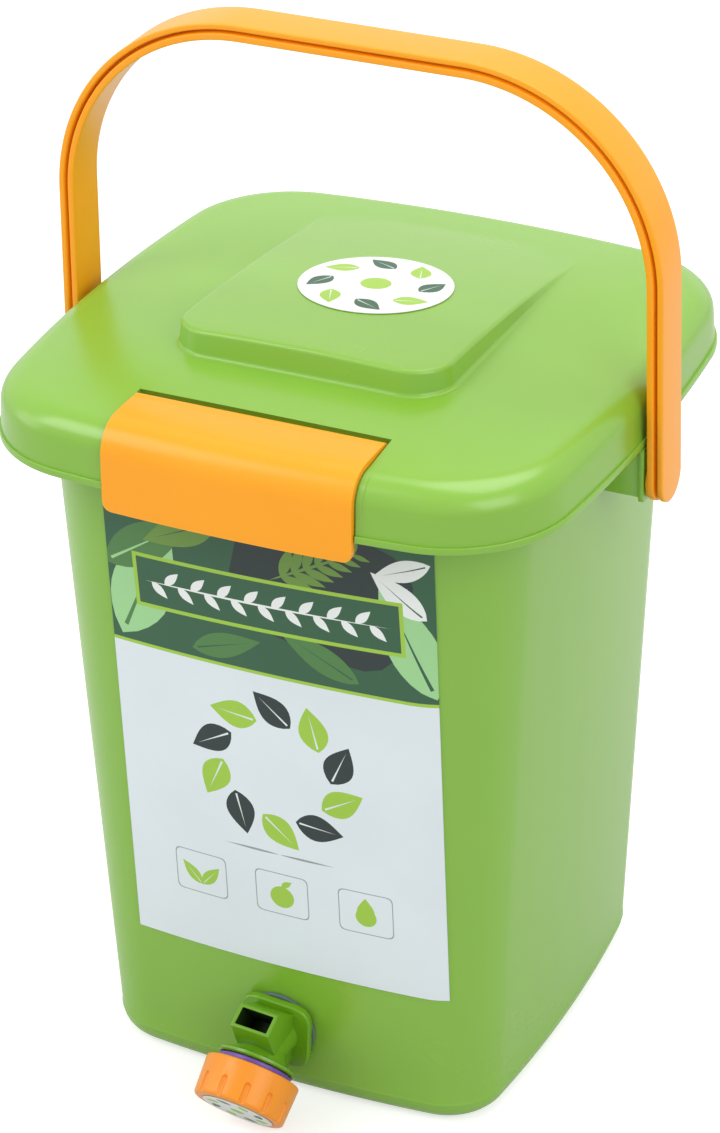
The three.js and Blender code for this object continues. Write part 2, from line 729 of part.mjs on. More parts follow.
// The bail's H-shaped section: inward distance from its outer face, and place across its width
function bailSection() {
  const half = BAIL_WIDTH / 2;
  const groove = half - BAIL_GROOVE_DEPTH;
  const grooveEnd = BAIL_THICK - BAIL_INNER_WALL;
  const nearSide = [
    [BAIL_EDGE, -half],
    [BAIL_OUTER_WALL, -half],
    [BAIL_OUTER_WALL, -groove],
    [grooveEnd, -groove],
    [grooveEnd, -half],
    [BAIL_THICK - BAIL_EDGE, -half],
    [BAIL_THICK, BAIL_EDGE - half],
  ];
  const farSide = nearSide.map(([inward, across]) => [inward, -across]).reverse();
  return [[0, BAIL_EDGE - half], ...nearSide, ...farSide, [0, half - BAIL_EDGE]];
}

function makeBail() {
  const lean = rad(BAIL_LEAN_DEG);
  const topZ = PIVOT_Z + BAIL_RISE;
  const centreZ = topZ - BAIL_CORNER;
  const centreX = BAIL_OUTER - (centreZ - PIVOT_Z) * Math.tan(lean) - BAIL_CORNER / Math.cos(lean);
  const cornerSteps = 8;
  const legSteps = 2;
  const half = [];
  const arcStart = centreZ + BAIL_CORNER * Math.sin(lean);
  for (let i = 0; i < legSteps; i++) {
    const z = THREE.MathUtils.lerp(PIVOT_Z, arcStart, i / legSteps);
    half.push([BAIL_OUTER - (z - PIVOT_Z) * Math.tan(lean), z, lean]);
  }
  for (let i = 0; i <= cornerSteps; i++) {
    const a = THREE.MathUtils.lerp(lean, Math.PI / 2, i / cornerSteps);
    half.push([centreX + BAIL_CORNER * Math.cos(a), centreZ + BAIL_CORNER * Math.sin(a), a]);
  }
  const path = [...half, ...half.map(([x, z, a]) => [-x, z, Math.PI - a]).reverse()];
  const section = bailSection();
  const rings = path.map(([x, z, a]) =>
    section.map(([inward, across]) => vec(x - inward * Math.cos(a), across, z - inward * Math.sin(a))),
  );
  const arch = loft(rings);
  const ends = [-1, 1].flatMap((side) => {
    const at = (x) => vec(side * x, 0, PIVOT_Z);
    const bossIn = BAIL_INNER - BOSS_PROUD;
    const plateIn = bossIn - FIT * 2 - BRACKET_PLATE;
    const headStart = plateIn - FIT;
    return [
      rod(BAIL_WIDTH / 2, at(bossIn), at(BAIL_OUTER), ROUND_STEPS),
      rod(PEG_R, at(headStart - PEG_HEAD_LENGTH), at(bossIn + BOSS_PROUD)),
      rod(PEG_HEAD_R, at(headStart - PEG_HEAD_LENGTH), at(headStart)),
    ];
  });
  return join(arch, ...ends);
}

function makeFrontLabel() {
  const columns = 26;
  const rows = 2;
  const places = [];
  for (let i = 0; i <= rows; i++) {
    const z = THREE.MathUtils.lerp(LABEL_BOTTOM, LABEL_TOP, i / rows);
    const row = [];
    for (let j = 0; j <= columns; j++)
      row.push([THREE.MathUtils.lerp(LABEL_LEFT, LABEL_RIGHT, j / columns), z]);
    places.push(row);
  }
  const on = (out) => ([x, z]) => vec(x, wallShape(z, out).frontY(x), z);
  return sheet(places, on(FIT), on(FIT + LABEL_THICK));
}

// A round sticker that follows a surface, given as height over the plane
function makeRoundSticker(radius, centreY, heightAt) {
  const ringShares = [0.4, 1];
  const ringOf = (share, lift) => {
    const ring = [];
    for (let i = 0; i < ROUND_STEPS; i++) {
      const a = (2 * Math.PI * i) / ROUND_STEPS;
      const x = radius * share * Math.cos(a);
      const y = centreY + radius * share * Math.sin(a);
      ring.push(vec(x, y, heightAt(x, y) + lift));
    }
    return ring;
  };
  const lower = ringShares.map((share) => ringOf(share, FIT));
  const upper = ringShares.map((share) => ringOf(share, FIT + LABEL_THICK)).reverse();
  return loft([...lower, ...upper]);
}

// A rounded square plate in the tap's flange plane
function roundedPlate(half, corner, front, back) {
  const shape = new THREE.Shape();
  const inner = half - corner;
  shape.absarc(inner, inner, corner, 0, Math.PI / 2);
  shape.absarc(-inner, inner, corner, Math.PI / 2, Math.PI);
  shape.absarc(-inner, -inner, corner, Math.PI, 1.5 * Math.PI);
  shape.absarc(inner, -inner, corner, 1.5 * Math.PI, 2 * Math.PI);
  const geometry = new THREE.ExtrudeGeometry(shape, {
    depth: back - front,
    bevelEnabled: false,
    curveSegments: CORNER_STEPS,
  });
  geometry.rotateX(Math.PI / 2);
  geometry.translate(0, back, 0);
  return solidOf(geometry);
}

// A solid of revolution about Z from [radius, height] points
function turned(points, steps = ROUND_STEPS) {
  const profile = points.map(([radius, z]) => new THREE.Vector2(radius, z));
  const geometry = new THREE.LatheGeometry(profile, steps);
  geometry.rotateX(Math.PI / 2);
  return solidOf(geometry);
}

// A ring of rectangular section about Z
function turnedRing(inner, outer, low, high, steps = ROUND_STEPS) {
  const corners = [
    [inner, low],
    [outer, low],
    [outer, high],
    [inner, high],
    [inner, low],
  ];
  return turned(corners, steps);
}

// Distances of the tap's stack outside and inside the wall; outside is negative
const FLANGE_BACK = -(FIT + WASHER_THICK + FIT);
const INNER_WASHER_START = WALL + FIT * 2;
const NUT_START = INNER_WASHER_START + WASHER_THICK + FIT;

// Puts the valve's own frame, knob axis along +Z and spout along +Y, into the tap's frame
const valveMatrix = new THREE.Matrix4()
  .makeRotationX(Math.PI / 2 + rad(KNOB_TILT_DEG))
  .setPosition(0, -TAP_REACH, 0);

function makeTapBody() {
  const onValve = (solid) => moved(solid, valveMatrix);
  const flangeFront = FLANGE_BACK - TAP_FLANGE_THICK;
  const flange = roundedPlate(TAP_FLANGE_HALF, TAP_FLANGE_CORNER, flangeFront, FLANGE_BACK);
  const shank = rod(
    SHANK_R,
    vec(0, flangeFront + TAP_FLANGE_THICK / 2, 0),
    vec(0, SHANK_LENGTH, 0),
    ROUND_STEPS,
  );
  const outline = HOUSING_SHARES.map(([y, z]) => [(y - 1) * TAP_REACH, z * TAP_REACH]);
  const housing = alongX(outline, -SPOUT_WIDTH / 2, SPOUT_WIDTH / 2);
  const barrel = rod(BARREL_R, vec(0, 0, -BORE_END / 2), vec(0, 0, BARREL_FRONT), ROUND_STEPS);
  const collar = rod(COLLAR_R, vec(0, 0, COLLAR_FRONT - COLLAR_THICK), vec(0, 0, COLLAR_FRONT), ROUND_STEPS);
  const neck = rod(NECK_R, vec(0, -TAP_REACH, 0), vec(0, FLANGE_BACK, 0), ROUND_STEPS);
  const bore = rod(BARREL_BORE_R, vec(0, 0, -BORE_END), vec(0, 0, BARREL_FRONT + OVERRUN), ROUND_STEPS);
  const inlet = rod(INLET_R, vec(0, -TAP_REACH, 0), vec(0, SHANK_LENGTH + OVERRUN, 0), ROUND_STEPS);
  const holeHalf = SPOUT_WIDTH / 2 - SPOUT_WALL;
  const holeCentre = SPOUT_HOLE_SHARE * TAP_REACH;
  const channel = block(
    vec(-holeHalf, 0, holeCentre - SPOUT_HOLE_DEPTH / 2),
    vec(holeHalf, TAP_REACH * 2, holeCentre + SPOUT_HOLE_DEPTH / 2),
  );
  const full = join(flange, shank, neck, housing, onValve(join(barrel, collar)));
  return cut(full, onValve(join(bore, channel)), inlet);
}

function makeTapWasher(start) {
  const ring = turnedRing(SHANK_R + FIT, WASHER_R, 0, WASHER_THICK);
  const turn = new THREE.Matrix4().makeRotationX(Math.PI / 2);
  return moved(ring, turn.setPosition(0, start + WASHER_THICK, 0));
}

// The back nut, with finger lobes
function makeBackNut() {
  const ring = rod(NUT_R, vec(0, 0, 0), vec(0, 0, NUT_THICK), ROUND_STEPS);
  const lobes = [];
  for (let i = 0; i < NUT_LOBES; i++) {
    const a = (2 * Math.PI * i) / NUT_LOBES;
    const x = NUT_R * Math.cos(a);
    const y = NUT_R * Math.sin(a);
    lobes.push(rod(NUT_LOBE_R, vec(x, y, 0), vec(x, y, NUT_THICK)));
  }
  const hole = rod(SHANK_R + FIT, vec(0, 0, -OVERRUN), vec(0, 0, NUT_THICK + OVERRUN), ROUND_STEPS);
  const turn = new THREE.Matrix4().makeRotationX(Math.PI / 2);
  return moved(cut(join(ring, ...lobes), hole), turn.setPosition(0, NUT_START + NUT_THICK, 0));
}

// Where the plunger's seal groove sits, and where its stem ends under the knob's face
const PLUNGER_BACK = -BORE_END + FIT * 2;
const GROOVE_CENTRE = BARREL_FRONT - VALVE_TRAVEL - 2 * ORING_R;
const KNOB_END = KNOB_START + KNOB_LENGTH;
const STEM_END = KNOB_END - KNOB_FACE_THICK - FIT;

// The plunger: a piston that shuts the inlet, with a seal groove and a stem to the knob
function makePlunger() {
  const grooveLow = GROOVE_CENTRE - ORING_R - FIT;
  const grooveHigh = GROOVE_CENTRE + ORING_R + FIT;
  const grooveR = BARREL_BORE_R - 2 * ORING_R - FIT;
  return turned([
    [0, PLUNGER_BACK],
    [PLUNGER_R, PLUNGER_BACK],
    [PLUNGER_R, grooveLow],
    [grooveR, grooveLow],
    [grooveR, grooveHigh],
    [PLUNGER_R, grooveHigh],
    [PLUNGER_R, BARREL_FRONT - FIT],
    [PLUNGER_STEM_R, BARREL_FRONT - FIT],
    [PLUNGER_STEM_R, STEM_END],
    [0, STEM_END],
  ], SMALL_ROUND_STEPS);
}

function makeORing() {
  const middle = BARREL_BORE_R - FIT - ORING_R;
  const points = [];
  const steps = 6;
  for (let i = 0; i <= steps; i++) {
    const a = (2 * Math.PI * i) / steps;
    points.push([middle + ORING_R * Math.cos(a), GROOVE_CENTRE + ORING_R * Math.sin(a)]);
  }
  points[steps] = points[0];
  return turned(points, SMALL_ROUND_STEPS);
}

function makeRing() {
  return turnedRing(BARREL_R + FIT, RING_R, COLLAR_FRONT + FIT, COLLAR_FRONT + FIT + RING_THICK);
}

// The knob: a hollow cap with a socket for the stem and finger slots round its side
function makeKnob() {
  const socketR = PLUNGER_STEM_R + FIT;
  const socketOuter = socketR + KNOB_WALL / 2;
  const faceInside = KNOB_END - KNOB_FACE_THICK;
  const cap = turned([
    [KNOB_R - KNOB_WALL, KNOB_START],
    [KNOB_R - KNOB_EDGE / 2, KNOB_START],
    [KNOB_R, KNOB_START + KNOB_EDGE],
    [KNOB_FACE_R, KNOB_END - KNOB_EDGE],
    [KNOB_FACE_R - KNOB_EDGE, KNOB_END],
    [0, KNOB_END],
    [0, faceInside],
    [socketR, faceInside],
    [socketR, BARREL_FRONT + OVERRUN],
    [socketOuter, BARREL_FRONT + OVERRUN],
    [socketOuter, faceInside],
    [KNOB_R - KNOB_WALL, faceInside],
    [KNOB_R - KNOB_WALL, KNOB_START],
  ]);
  const slots = [];
  const slotHigh = KNOB_END - 2 * KNOB_EDGE;
  const slotLow = slotHigh - KNOB_SLOT_LENGTH;
  for (let i = 0; i < KNOB_SLOTS; i++) {
    const a = (2 * Math.PI * (i + 0.5)) / KNOB_SLOTS;
    const reach = KNOB_R + KNOB_SLOT_R / 2 - KNOB_SLOT_DEPTH;
    const x = reach * Math.cos(a);
    const y = reach * Math.sin(a);
    slots.push(rod(KNOB_SLOT_R, vec(x, y, slotLow), vec(x, y, slotHigh), HOLE_STEPS));
  }
  return cut(cap, ...slots);
}

function makeTray() {
  const shapeAt = (z, out) => wallShape(z, -WALL - TRAY_GAP + out);
  const top = TRAY_Z + TRAY_THICK;
  const rimTop = TRAY_Z + TRAY_RIM;
  const plate = loft([shapeAt(TRAY_Z, 0).ring(TRAY_Z), shapeAt(rimTop, 0).ring(rimTop)]);
  const dish = loft([
    shapeAt(top, -TRAY_THICK).ring(top),
    shapeAt(rimTop + OVERRUN, -TRAY_THICK).ring(rimTop + OVERRUN),
  ]);
  const legs = [];
  for (const x of [-TRAY_LEG_REACH, TRAY_LEG_REACH])
    for (const y of [-TRAY_LEG_REACH, TRAY_LEG_REACH])
      legs.push(rod(TRAY_LEG_R, vec(x, y, FLOOR + FIT), vec(x, y, top - FIT)));
  const grip = rod(TRAY_GRIP_R, vec(0, 0, TRAY_Z), vec(0, 0, TRAY_Z + TRAY_GRIP_HEIGHT));
  const gripWaist = turnedRing(
    TRAY_GRIP_R - TRAY_THICK,
    TRAY_GRIP_R + TRAY_THICK,
    top + TRAY_THICK,
    TRAY_Z + TRAY_GRIP_HEIGHT - TRAY_THICK * 2,
    SMALL_ROUND_STEPS,
  );
  const holes = [];
  const each = TRAY_HOLES_EACH_WAY;
  for (let i = -each; i <= each; i++)
    for (let j = -each; j <= each; j++) {
      const x = i * TRAY_HOLE_PITCH;
      const y = j * TRAY_HOLE_PITCH;
      const nearLeg = Math.hypot(Math.abs(x) - TRAY_LEG_REACH, Math.abs(y) - TRAY_LEG_REACH);
      const clear = TRAY_HOLE_R + TRAY_THICK;
      if (nearLeg < TRAY_LEG_R + clear || Math.hypot(x, y) < TRAY_GRIP_R + clear) continue;
      holes.push(rod(TRAY_HOLE_R, vec(x, y, TRAY_Z - OVERRUN), vec(x, y, top + OVERRUN), HOLE_STEPS));
    }
  return cut(join(cut(plate, dish), ...legs, grip), gripWaist, ...holes);
}

// Finishes
const finish = (color, roughness) => new THREE.MeshStandardMaterial({ color, roughness, metalness: 0 });
const binGreen = finish(0x86bb4d, 0.42);
const orange = finish(0xf9a93a, 0.4);
const tapGreen = finish(0x6da82c, 0.35);
const purple = finish(0x7350a6, 0.5);
const greyRubber = finish(0x8fa3ab, 0.6);
const blackRubber = finish(0x2b2b2b, 0.7);
const paper = finish(0xdfe9e6, 0.45);
const steel = new THREE.MeshStandardMaterial({ color: 0xb9bcc0, roughness: 0.35, metalness: 1 });

// The scene graph
function piece(parent, name, solid, material) {
  const mesh = new THREE.Mesh(geometryOf(solid), material);
  mesh.name = name;
  parent.add(mesh);
  return mesh;
}

const group = new THREE.Group();

const tapFrame = new THREE.Group();
const draft = Math.atan((MOUTH_HALF - BASE_HALF) / RIM_Z);
tapFrame.position.set(0, -wallShape(TAP_Z).half, TAP_Z);
tapFrame.rotation.order = "YXZ";
tapFrame.rotation.set(draft, rad(TAP_TURN_DEG), 0);
tapFrame.updateMatrix();
group.add(tapFrame);

const valveFrame = new THREE.Group();
valveFrame.applyMatrix4(valveMatrix);
tapFrame.add(valveFrame);

piece(group, "bin_body", makeBucket(tapFrame.matrix), binGreen);
piece(group, "lid_shell", makeLid(), binGreen);
piece(group, "lid_seal", makeSeal(), greyRubber);
piece(group, "latch_flap", makeLatch(), orange);
piece(group, "latch_pin", latchLine(LATCH_PIN_R, LATCH_HALF + LATCH_SIDE_GAP + LATCH_PIN_SEAT), steel);
piece(group, "bail_handle", makeBail(), orange);
const hingePinHalf = KNUCKLE_WIDTH / 2 + FIT + EAR_THICK;
piece(group, "lid_hinge_pin_left", hingeLine(-HINGE_X, HINGE_PIN_R, hingePinHalf), steel);
piece(group, "lid_hinge_pin_right", hingeLine(HINGE_X, HINGE_PIN_R, hingePinHalf), steel);
piece(group, "front_label", makeFrontLabel(), paper);
piece(group, "lid_sticker", makeRoundSticker(LID_STICKER_R, LID_STICKER_Y, wedgeTop), paper);
piece(group, "strainer_tray", makeTray(), binGreen);
piece(tapFrame, "tap_body", makeTapBody(), tapGreen);
piece(tapFrame, "tap_outer_washer", makeTapWasher(-FIT - WASHER_THICK), greyRubber);
piece(tapFrame, "tap_inner_washer", makeTapWasher(INNER_WASHER_START), blackRubber);
piece(tapFrame, "tap_back_nut", makeBackNut(), tapGreen);
piece(valveFrame, "tap_plunger", makePlunger(), tapGreen);
piece(valveFrame, "tap_plunger_oring", makeORing(), blackRubber);
piece(valveFrame, "tap_ring", makeRing(), purple);
piece(valveFrame, "tap_knob", makeKnob(), orange);
piece(valveFrame, "knob_sticker", makeRoundSticker(KNOB_STICKER_R, 0, () => KNOB_END), paper);

export default group;
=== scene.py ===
"""Looks of a kitchen compost bin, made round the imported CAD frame.

Lengths are metres, +Z is up and the front of the bin faces -Y, as in the frame. Every visible piece
of the frame is replaced by a finer mesh of the same size, and each has a procedural material.
"""

from __future__ import annotations

import logging
import math
from collections.abc import Callable, Iterator, Sequence
from contextlib import contextmanager
from dataclasses import dataclass, field
from enum import Enum
from typing import ClassVar

import bmesh
import bpy
import numpy as np
from bpy.types import Material, Mesh, NodeOutputs, NodeSocket, NodeTree, Object
from mathutils import Matrix, Vector
from mathutils.geometry import delaunay_2d_cdt

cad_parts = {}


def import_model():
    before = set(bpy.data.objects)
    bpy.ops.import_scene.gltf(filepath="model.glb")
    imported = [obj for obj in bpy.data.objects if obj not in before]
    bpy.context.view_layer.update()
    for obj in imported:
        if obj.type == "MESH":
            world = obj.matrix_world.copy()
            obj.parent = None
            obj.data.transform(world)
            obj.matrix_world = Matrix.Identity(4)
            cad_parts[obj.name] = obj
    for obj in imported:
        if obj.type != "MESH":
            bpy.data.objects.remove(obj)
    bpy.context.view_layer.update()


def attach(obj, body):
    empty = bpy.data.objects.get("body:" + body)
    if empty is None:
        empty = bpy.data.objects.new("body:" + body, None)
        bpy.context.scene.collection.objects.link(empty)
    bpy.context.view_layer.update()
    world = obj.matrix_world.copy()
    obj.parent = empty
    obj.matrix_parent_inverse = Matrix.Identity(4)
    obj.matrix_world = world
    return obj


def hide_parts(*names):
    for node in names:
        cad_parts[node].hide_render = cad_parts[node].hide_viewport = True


LOG = logging.getLogger("compost_bin")
MM = 0.001
MERGE = 0.001 * MM
TURN = 2 * math.pi
QUARTER = math.pi / 2

Pair = tuple[float, float]
Point = tuple[float, float, float]
Outline = list[Pair]
Place = Callable[[float, float, float], Point]


# Outlines and surfaces


class Cap(Enum):
    """How the first or last ring of a loft is closed."""

    FACE = "face"
    POLE = "pole"


@dataclass
class Skin:
    """Vertices and faces of one surface."""

    points: list[Point] = field(default_factory=list)
    faces: list[tuple[int, ...]] = field(default_factory=list)

    def add(self, other: Skin) -> Skin:
        """Put another surface into this one.

        Args:
            other: The surface to take in.

        Returns:
            This surface, grown.
        """
        start = len(self.points)
        self.points.extend(other.points)
        self.faces.extend(tuple(i + start for i in face) for face in other.faces)
        return self

    def moved(self, matrix: Matrix) -> Skin:
        """Copy this surface through a matrix."""
        return Skin([tuple(matrix @ Vector(p)) for p in self.points], list(self.faces))


def loft(rings: Sequence[np.ndarray], cap: Cap = Cap.FACE, closed: bool = False) -> Skin:
    """Join a row of rings with the same number of points by quads.

    Args:
        rings: The rings, each an array of points.
        cap: How the first and the last ring are closed.
        closed: Whether the last ring joins the first again.

    Returns:
        The joined surface.
    """
    count = len(rings[0])
    skin = Skin([tuple(map(float, p)) for ring in rings for p in ring])
    spans = len(rings) if closed else len(rings) - 1
    for i in range(spans):
        a, b = i * count, ((i + 1) % len(rings)) * count
        for j in range(count):
            k = (j + 1) % count
            skin.faces.append((a + j, a + k, b + k, b + j))
    if closed:
        return skin
    last = (len(rings) - 1) * count
    for edge in (list(range(count))[::-1], list(range(last, last + count))):
        if cap is Cap.FACE:
            skin.faces.append(tuple(edge))
            continue
        middle = np.mean([skin.points[i] for i in edge], axis=0)
        skin.points.append(tuple(map(float, middle)))
        pole = len(skin.points) - 1
        skin.faces.extend((edge[j], edge[(j + 1) % count], pole) for j in range(count))
    return skin


def all_round(steps: int) -> np.ndarray:
    """Angles of equal steps round a full turn."""
    return np.linspace(0, TURN, steps, endpoint=False)


def shares(count: int) -> list[float]:
    """Equal steps above 0, up to 1."""
    return [i / count for i in range(1, count + 1)]


def hoop(radius: float | np.ndarray, z: float, angles: np.ndarray) -> np.ndarray:
    """A level ring of points round Z, with one radius or one for each angle."""
    return np.stack([radius * np.cos(angles), radius * np.sin(angles), np.full(len(angles), z)], 1)


def arc(centre: Pair, radius: float, first: float, last: float, steps: int) -> Outline:
    """Points along a round from a first to a last angle, one more than its steps."""
    return [(centre[0] + radius * math.cos(a), centre[1] + radius * math.sin(a))
            for a in np.linspace(first, last, steps + 1)]


def rectangle(left: float, low: float, right: float, top: float) -> Outline:
    """Corners of a rectangle, counter-clockwise."""
    return [(left, low), (right, low), (right, top), (left, top)]


def rounded(corners: Sequence[Pair], radius: float, steps: int = 4) -> Outline:
    """Round the corners of a closed outline.

    Args:
        corners: The sharp outline.
        radius: Radius wished for, cut down where a side is short.
        steps: Points in each round, less one.

    Returns:
        The outline with round corners.
    """
    points: Outline = []
    side_share = 0.45
    for i, corner in enumerate(corners):
        here = Vector(corner)
        back = Vector(corners[i - 1]) - here
        ahead = Vector(corners[(i + 1) % len(corners)]) - here
        half = back.angle(ahead) / 2
        reach = min(radius / math.tan(half), side_share * back.length, side_share * ahead.length)
        start = here + back.normalized() * reach
        finish = here + ahead.normalized() * reach
        for t in (0, *shares(steps)):
            p = start * (1 - t) ** 2 + here * 2 * t * (1 - t) + finish * t * t
            points.append((p.x, p.y))
    return points


def turned(profile: Sequence[Pair], steps: int = 96) -> Skin:
    """Turn a profile of (radius, height) about Z into a closed solid or ring.

    Args:
        profile: Points of the half section. It closes on itself, or both ends lie on the axis.
        steps: Points round the axis.

    Returns:
        The turned surface.
    """
    on_axis = profile[0][0] == 0
    inner = profile[1:-1] if on_axis else profile
    rings = [hoop(radius, z, all_round(steps)) for radius, z in inner]
    return loft(rings, Cap.POLE, closed=not on_axis)


def along_x(u: float, v: float, w: float) -> Point:
    """Place an outline drawn in Y and Z, at a distance along X."""
    return w, u, v


def along_y(u: float, v: float, w: float) -> Point:
    """Place an outline drawn in X and Z, at a distance along Y."""
    return u, w, v


def prism(outline: Sequence[Pair], place: Place, low: float, high: float) -> Skin:
    """Draw an outline out along its third direction, from low to high, into a closed prism."""
    return loft([np.array([place(u, v, w) for u, v in outline]) for w in (low, high)])


def bar(start: Vector, end: Vector, profile: Sequence[Pair], steps: int = 64) -> Skin:
    """Turn a profile of (radius, distance from the start) about the line between two points."""
    turn = Vector((0, 0, 1)).rotation_difference(end - start).to_matrix().to_4x4()
    return turned(profile, steps).moved(Matrix.Translation(start) @ turn)


def pin_profile(radius: float, length: float, edge: float) -> Outline:
    """Half section of a straight pin with rounded ends.

    Args:
        radius: Radius of the pin.
        length: Its length.
        edge: Radius of the rounded edge.

    Returns:
        Points of (radius, height).
    """
    low = arc((radius - edge, edge), edge, -QUARTER, 0, 4)
    high = [(r, length - z) for r, z in reversed(low)]
    return [(0, 0), *low, *high, (0, length)]


def smooth_step(value: float | np.ndarray) -> float | np.ndarray:
    """Rise from 0 to 1 with level ends, as value goes from 0 to 1."""
    t = np.clip(value, 0, 1)
    return t * t * t * (t * (6 * t - 15) + 10)


def soft_least(value: float, limit: float, span: float) -> float:
    """The smaller of two values, rounded over a span where they meet."""
    near = max(span - abs(value - limit), 0) / span
    return min(value, limit) - near**2 * span / 4


def soft_positive(values: np.ndarray, span: float) -> np.ndarray:
    """Values with the negative ones raised to 0, rounded over a span on each side of 0."""
    rounded_part = (values + span) ** 2 / (4 * span)
    return np.where(values > span, values, np.where(values < -span, 0, rounded_part))


# Objects in the scene


@contextmanager
def edited(mesh: Mesh) -> Iterator[bmesh.types.BMesh]:
    """Open a mesh for editing and write the result back.

    Args:
        mesh: The mesh to change.

    Yields:
        The open mesh.
    """
    work = bmesh.new()
    work.from_mesh(mesh)
    yield work
    work.to_mesh(mesh)
    work.free()


def heal(mesh: Mesh) -> None:
    """Weld points that coincide and turn all faces outwards.

    Args:
        mesh: The mesh to change.
    """
    with edited(mesh) as work:
        bmesh.ops.remove_doubles(work, verts=work.verts, dist=MERGE)
        bmesh.ops.recalc_face_normals(work, faces=work.faces)


def linked(name: str, data: bpy.types.ID) -> Object:
    """Make an object and put it in the scene.

    Args:
        name: Name of the object.
        data: Its mesh, lamp or camera.

    Returns:
        The object.
    """
    piece = bpy.data.objects.new(name, data)
    bpy.context.scene.collection.objects.link(piece)
    return piece


def new_object(name: str, skin: Skin) -> Object:
    """Make a mesh object whose faces point outwards.

    Args:
        name: Name of the object.
        skin: Its surface.

    Returns:
        The object, linked to the scene.
    """
    mesh = bpy.data.meshes.new(name)
    mesh.from_pydata(skin.points, [], skin.faces)
    heal(mesh)
    return linked(name, mesh)


def new_line(name: str, points: Sequence[Point], closed: bool = False) -> Object:
    """Make an object of edges only.

    Args:
        name: Name of the object.
        points: The line's points in order.
        closed: Whether the last point joins the first.

    Returns:
        The object, linked to the scene.
    """
    edges = [(i, i + 1) for i in range(len(points) - 1)]
    if closed:
        edges.append((len(points) - 1, 0))
    mesh = bpy.data.meshes.new(name)
    mesh.from_pydata(points, edges, [])
    return linked(name, mesh)


def apply_modifiers(piece: Object) -> None:
    """Turn an object's evaluated result into its plain mesh and drop its modifiers.

    Args:
        piece: The object.
    """
    bpy.context.view_layer.update()
    graph = bpy.context.evaluated_depsgraph_get()
    result = bpy.data.meshes.new_from_object(piece.evaluated_get(graph))
    piece.modifiers.clear()
    piece.data = result


def modify(piece: Object, kind: str, **settings: str | float | Object) -> None:
    """Put a modifier on an object and apply it.

    Args:
        piece: The object.
        kind: The modifier's type.
        settings: Its settings.
    """
    step = piece.modifiers.new(kind.lower(), kind)
    for name, value in settings.items():
        setattr(step, name, value)
    apply_modifiers(piece)


def boolean(piece: Object, tool: Object, operation: str = "DIFFERENCE") -> None:
    """Cut an object by a tool, or join it with one by UNION, and remove the tool."""
    modify(piece, "BOOLEAN", operation=operation, solver="EXACT", object=tool)
    bpy.data.objects.remove(tool)


def soften(piece: Object, width: float, segments: int = 3, angle: float = 35) -> None:
    """Round the edges of an object that are sharper than an angle in degrees."""
    modify(piece, "BEVEL", width=width, segments=segments, limit_method="ANGLE",
           angle_limit=math.radians(angle), harden_normals=False)


def join_into(piece: Object, *others: Object) -> None:
    """Add the meshes of other objects to one, and remove them.

    Args:
        piece: The object that grows.
        others: The objects that it takes in.
    """
    with edited(piece.data) as work:
        for other in others:
            work.from_mesh(other.data)
            bpy.data.objects.remove(other)


# Nodes


def add_node(tree: NodeTree, kind: str, inputs: dict[str | int, object] | None = None,
             **settings: str) -> NodeOutputs:
    """Add a node with its settings, input values and incoming links.

    Args:
        tree: The node tree.
        kind: The node's type.
        inputs: Its inputs by name or number, each a value or the socket that feeds it.
        settings: Its other settings.

    Returns:
        The node's outputs.
    """
    node = tree.nodes.new(kind)
    for name, value in settings.items():
        setattr(node, name, value)
    for key, value in (inputs or {}).items():
        if isinstance(value, NodeSocket):
            tree.links.new(value, node.inputs[key])
        else:
            node.inputs[key].default_value = value
    return node.outputs


def new_material(name: str) -> Material:
    """Make a material with an empty node tree.

    Args:
        name: Name of the material.

    Returns:
        The material.
    """
    material = bpy.data.materials.new(name)
    material.use_nodes = True
    material.node_tree.nodes.clear()
    return material


@dataclass
class ShapeTree:
    """A Geometry Nodes tree that remakes the mesh of the object that it is put on."""

    name: str
    sockets: ClassVar[tuple[tuple[str, str], ...]] = ()
    inputs: dict[str, str] = field(default_factory=dict)

    def build(self) -> NodeTree:
        """Make the tree with its named inputs.

        Returns:
            The node group.
        """
        tree = bpy.data.node_groups.new(self.name, "GeometryNodeTree")
        face = tree.interface
        for way in ("INPUT", "OUTPUT"):
            face.new_socket("Geometry", in_out=way, socket_type="NodeSocketGeometry")
        for label, kind in (*self.sockets, ("Material", "Material")):
            made = face.new_socket(label, in_out="INPUT", socket_type=f"NodeSocket{kind}")
            self.inputs[label] = made.identifier
        given = add_node(tree, "NodeGroupInput")
        real = add_node(tree, "GeometryNodeRealizeInstances", {"Geometry": self.shape(tree, given)})
        dressed = add_node(tree, "GeometryNodeSetMaterial",
                           {"Geometry": real["Geometry"], "Material": given["Material"]})
        add_node(tree, "NodeGroupOutput", {"Geometry": dressed["Geometry"]})
        return tree

    def shape(self, tree: NodeTree, given: NodeOutputs) -> NodeSocket:
        """Add the nodes that make the shape from the given inputs, and return its socket."""
        raise NotImplementedError

    def remake(self, piece: Object, material: Material,
               **values: float | Object) -> None:
        """Replace an object's mesh by the tree's result.

        Args:
            piece: The object.
            material: The result's material.
            values: The other inputs by name, with underscores for spaces. Those left out are 0.
        """
        step = piece.modifiers.new(self.name, "NODES")
        step.node_group = self.build()
        for label, _kind in self.sockets:
            step[self.inputs[label]] = values.get(label.replace(" ", "_"), 0.0)
        step[self.inputs["Material"]] = material
        apply_modifiers(piece)


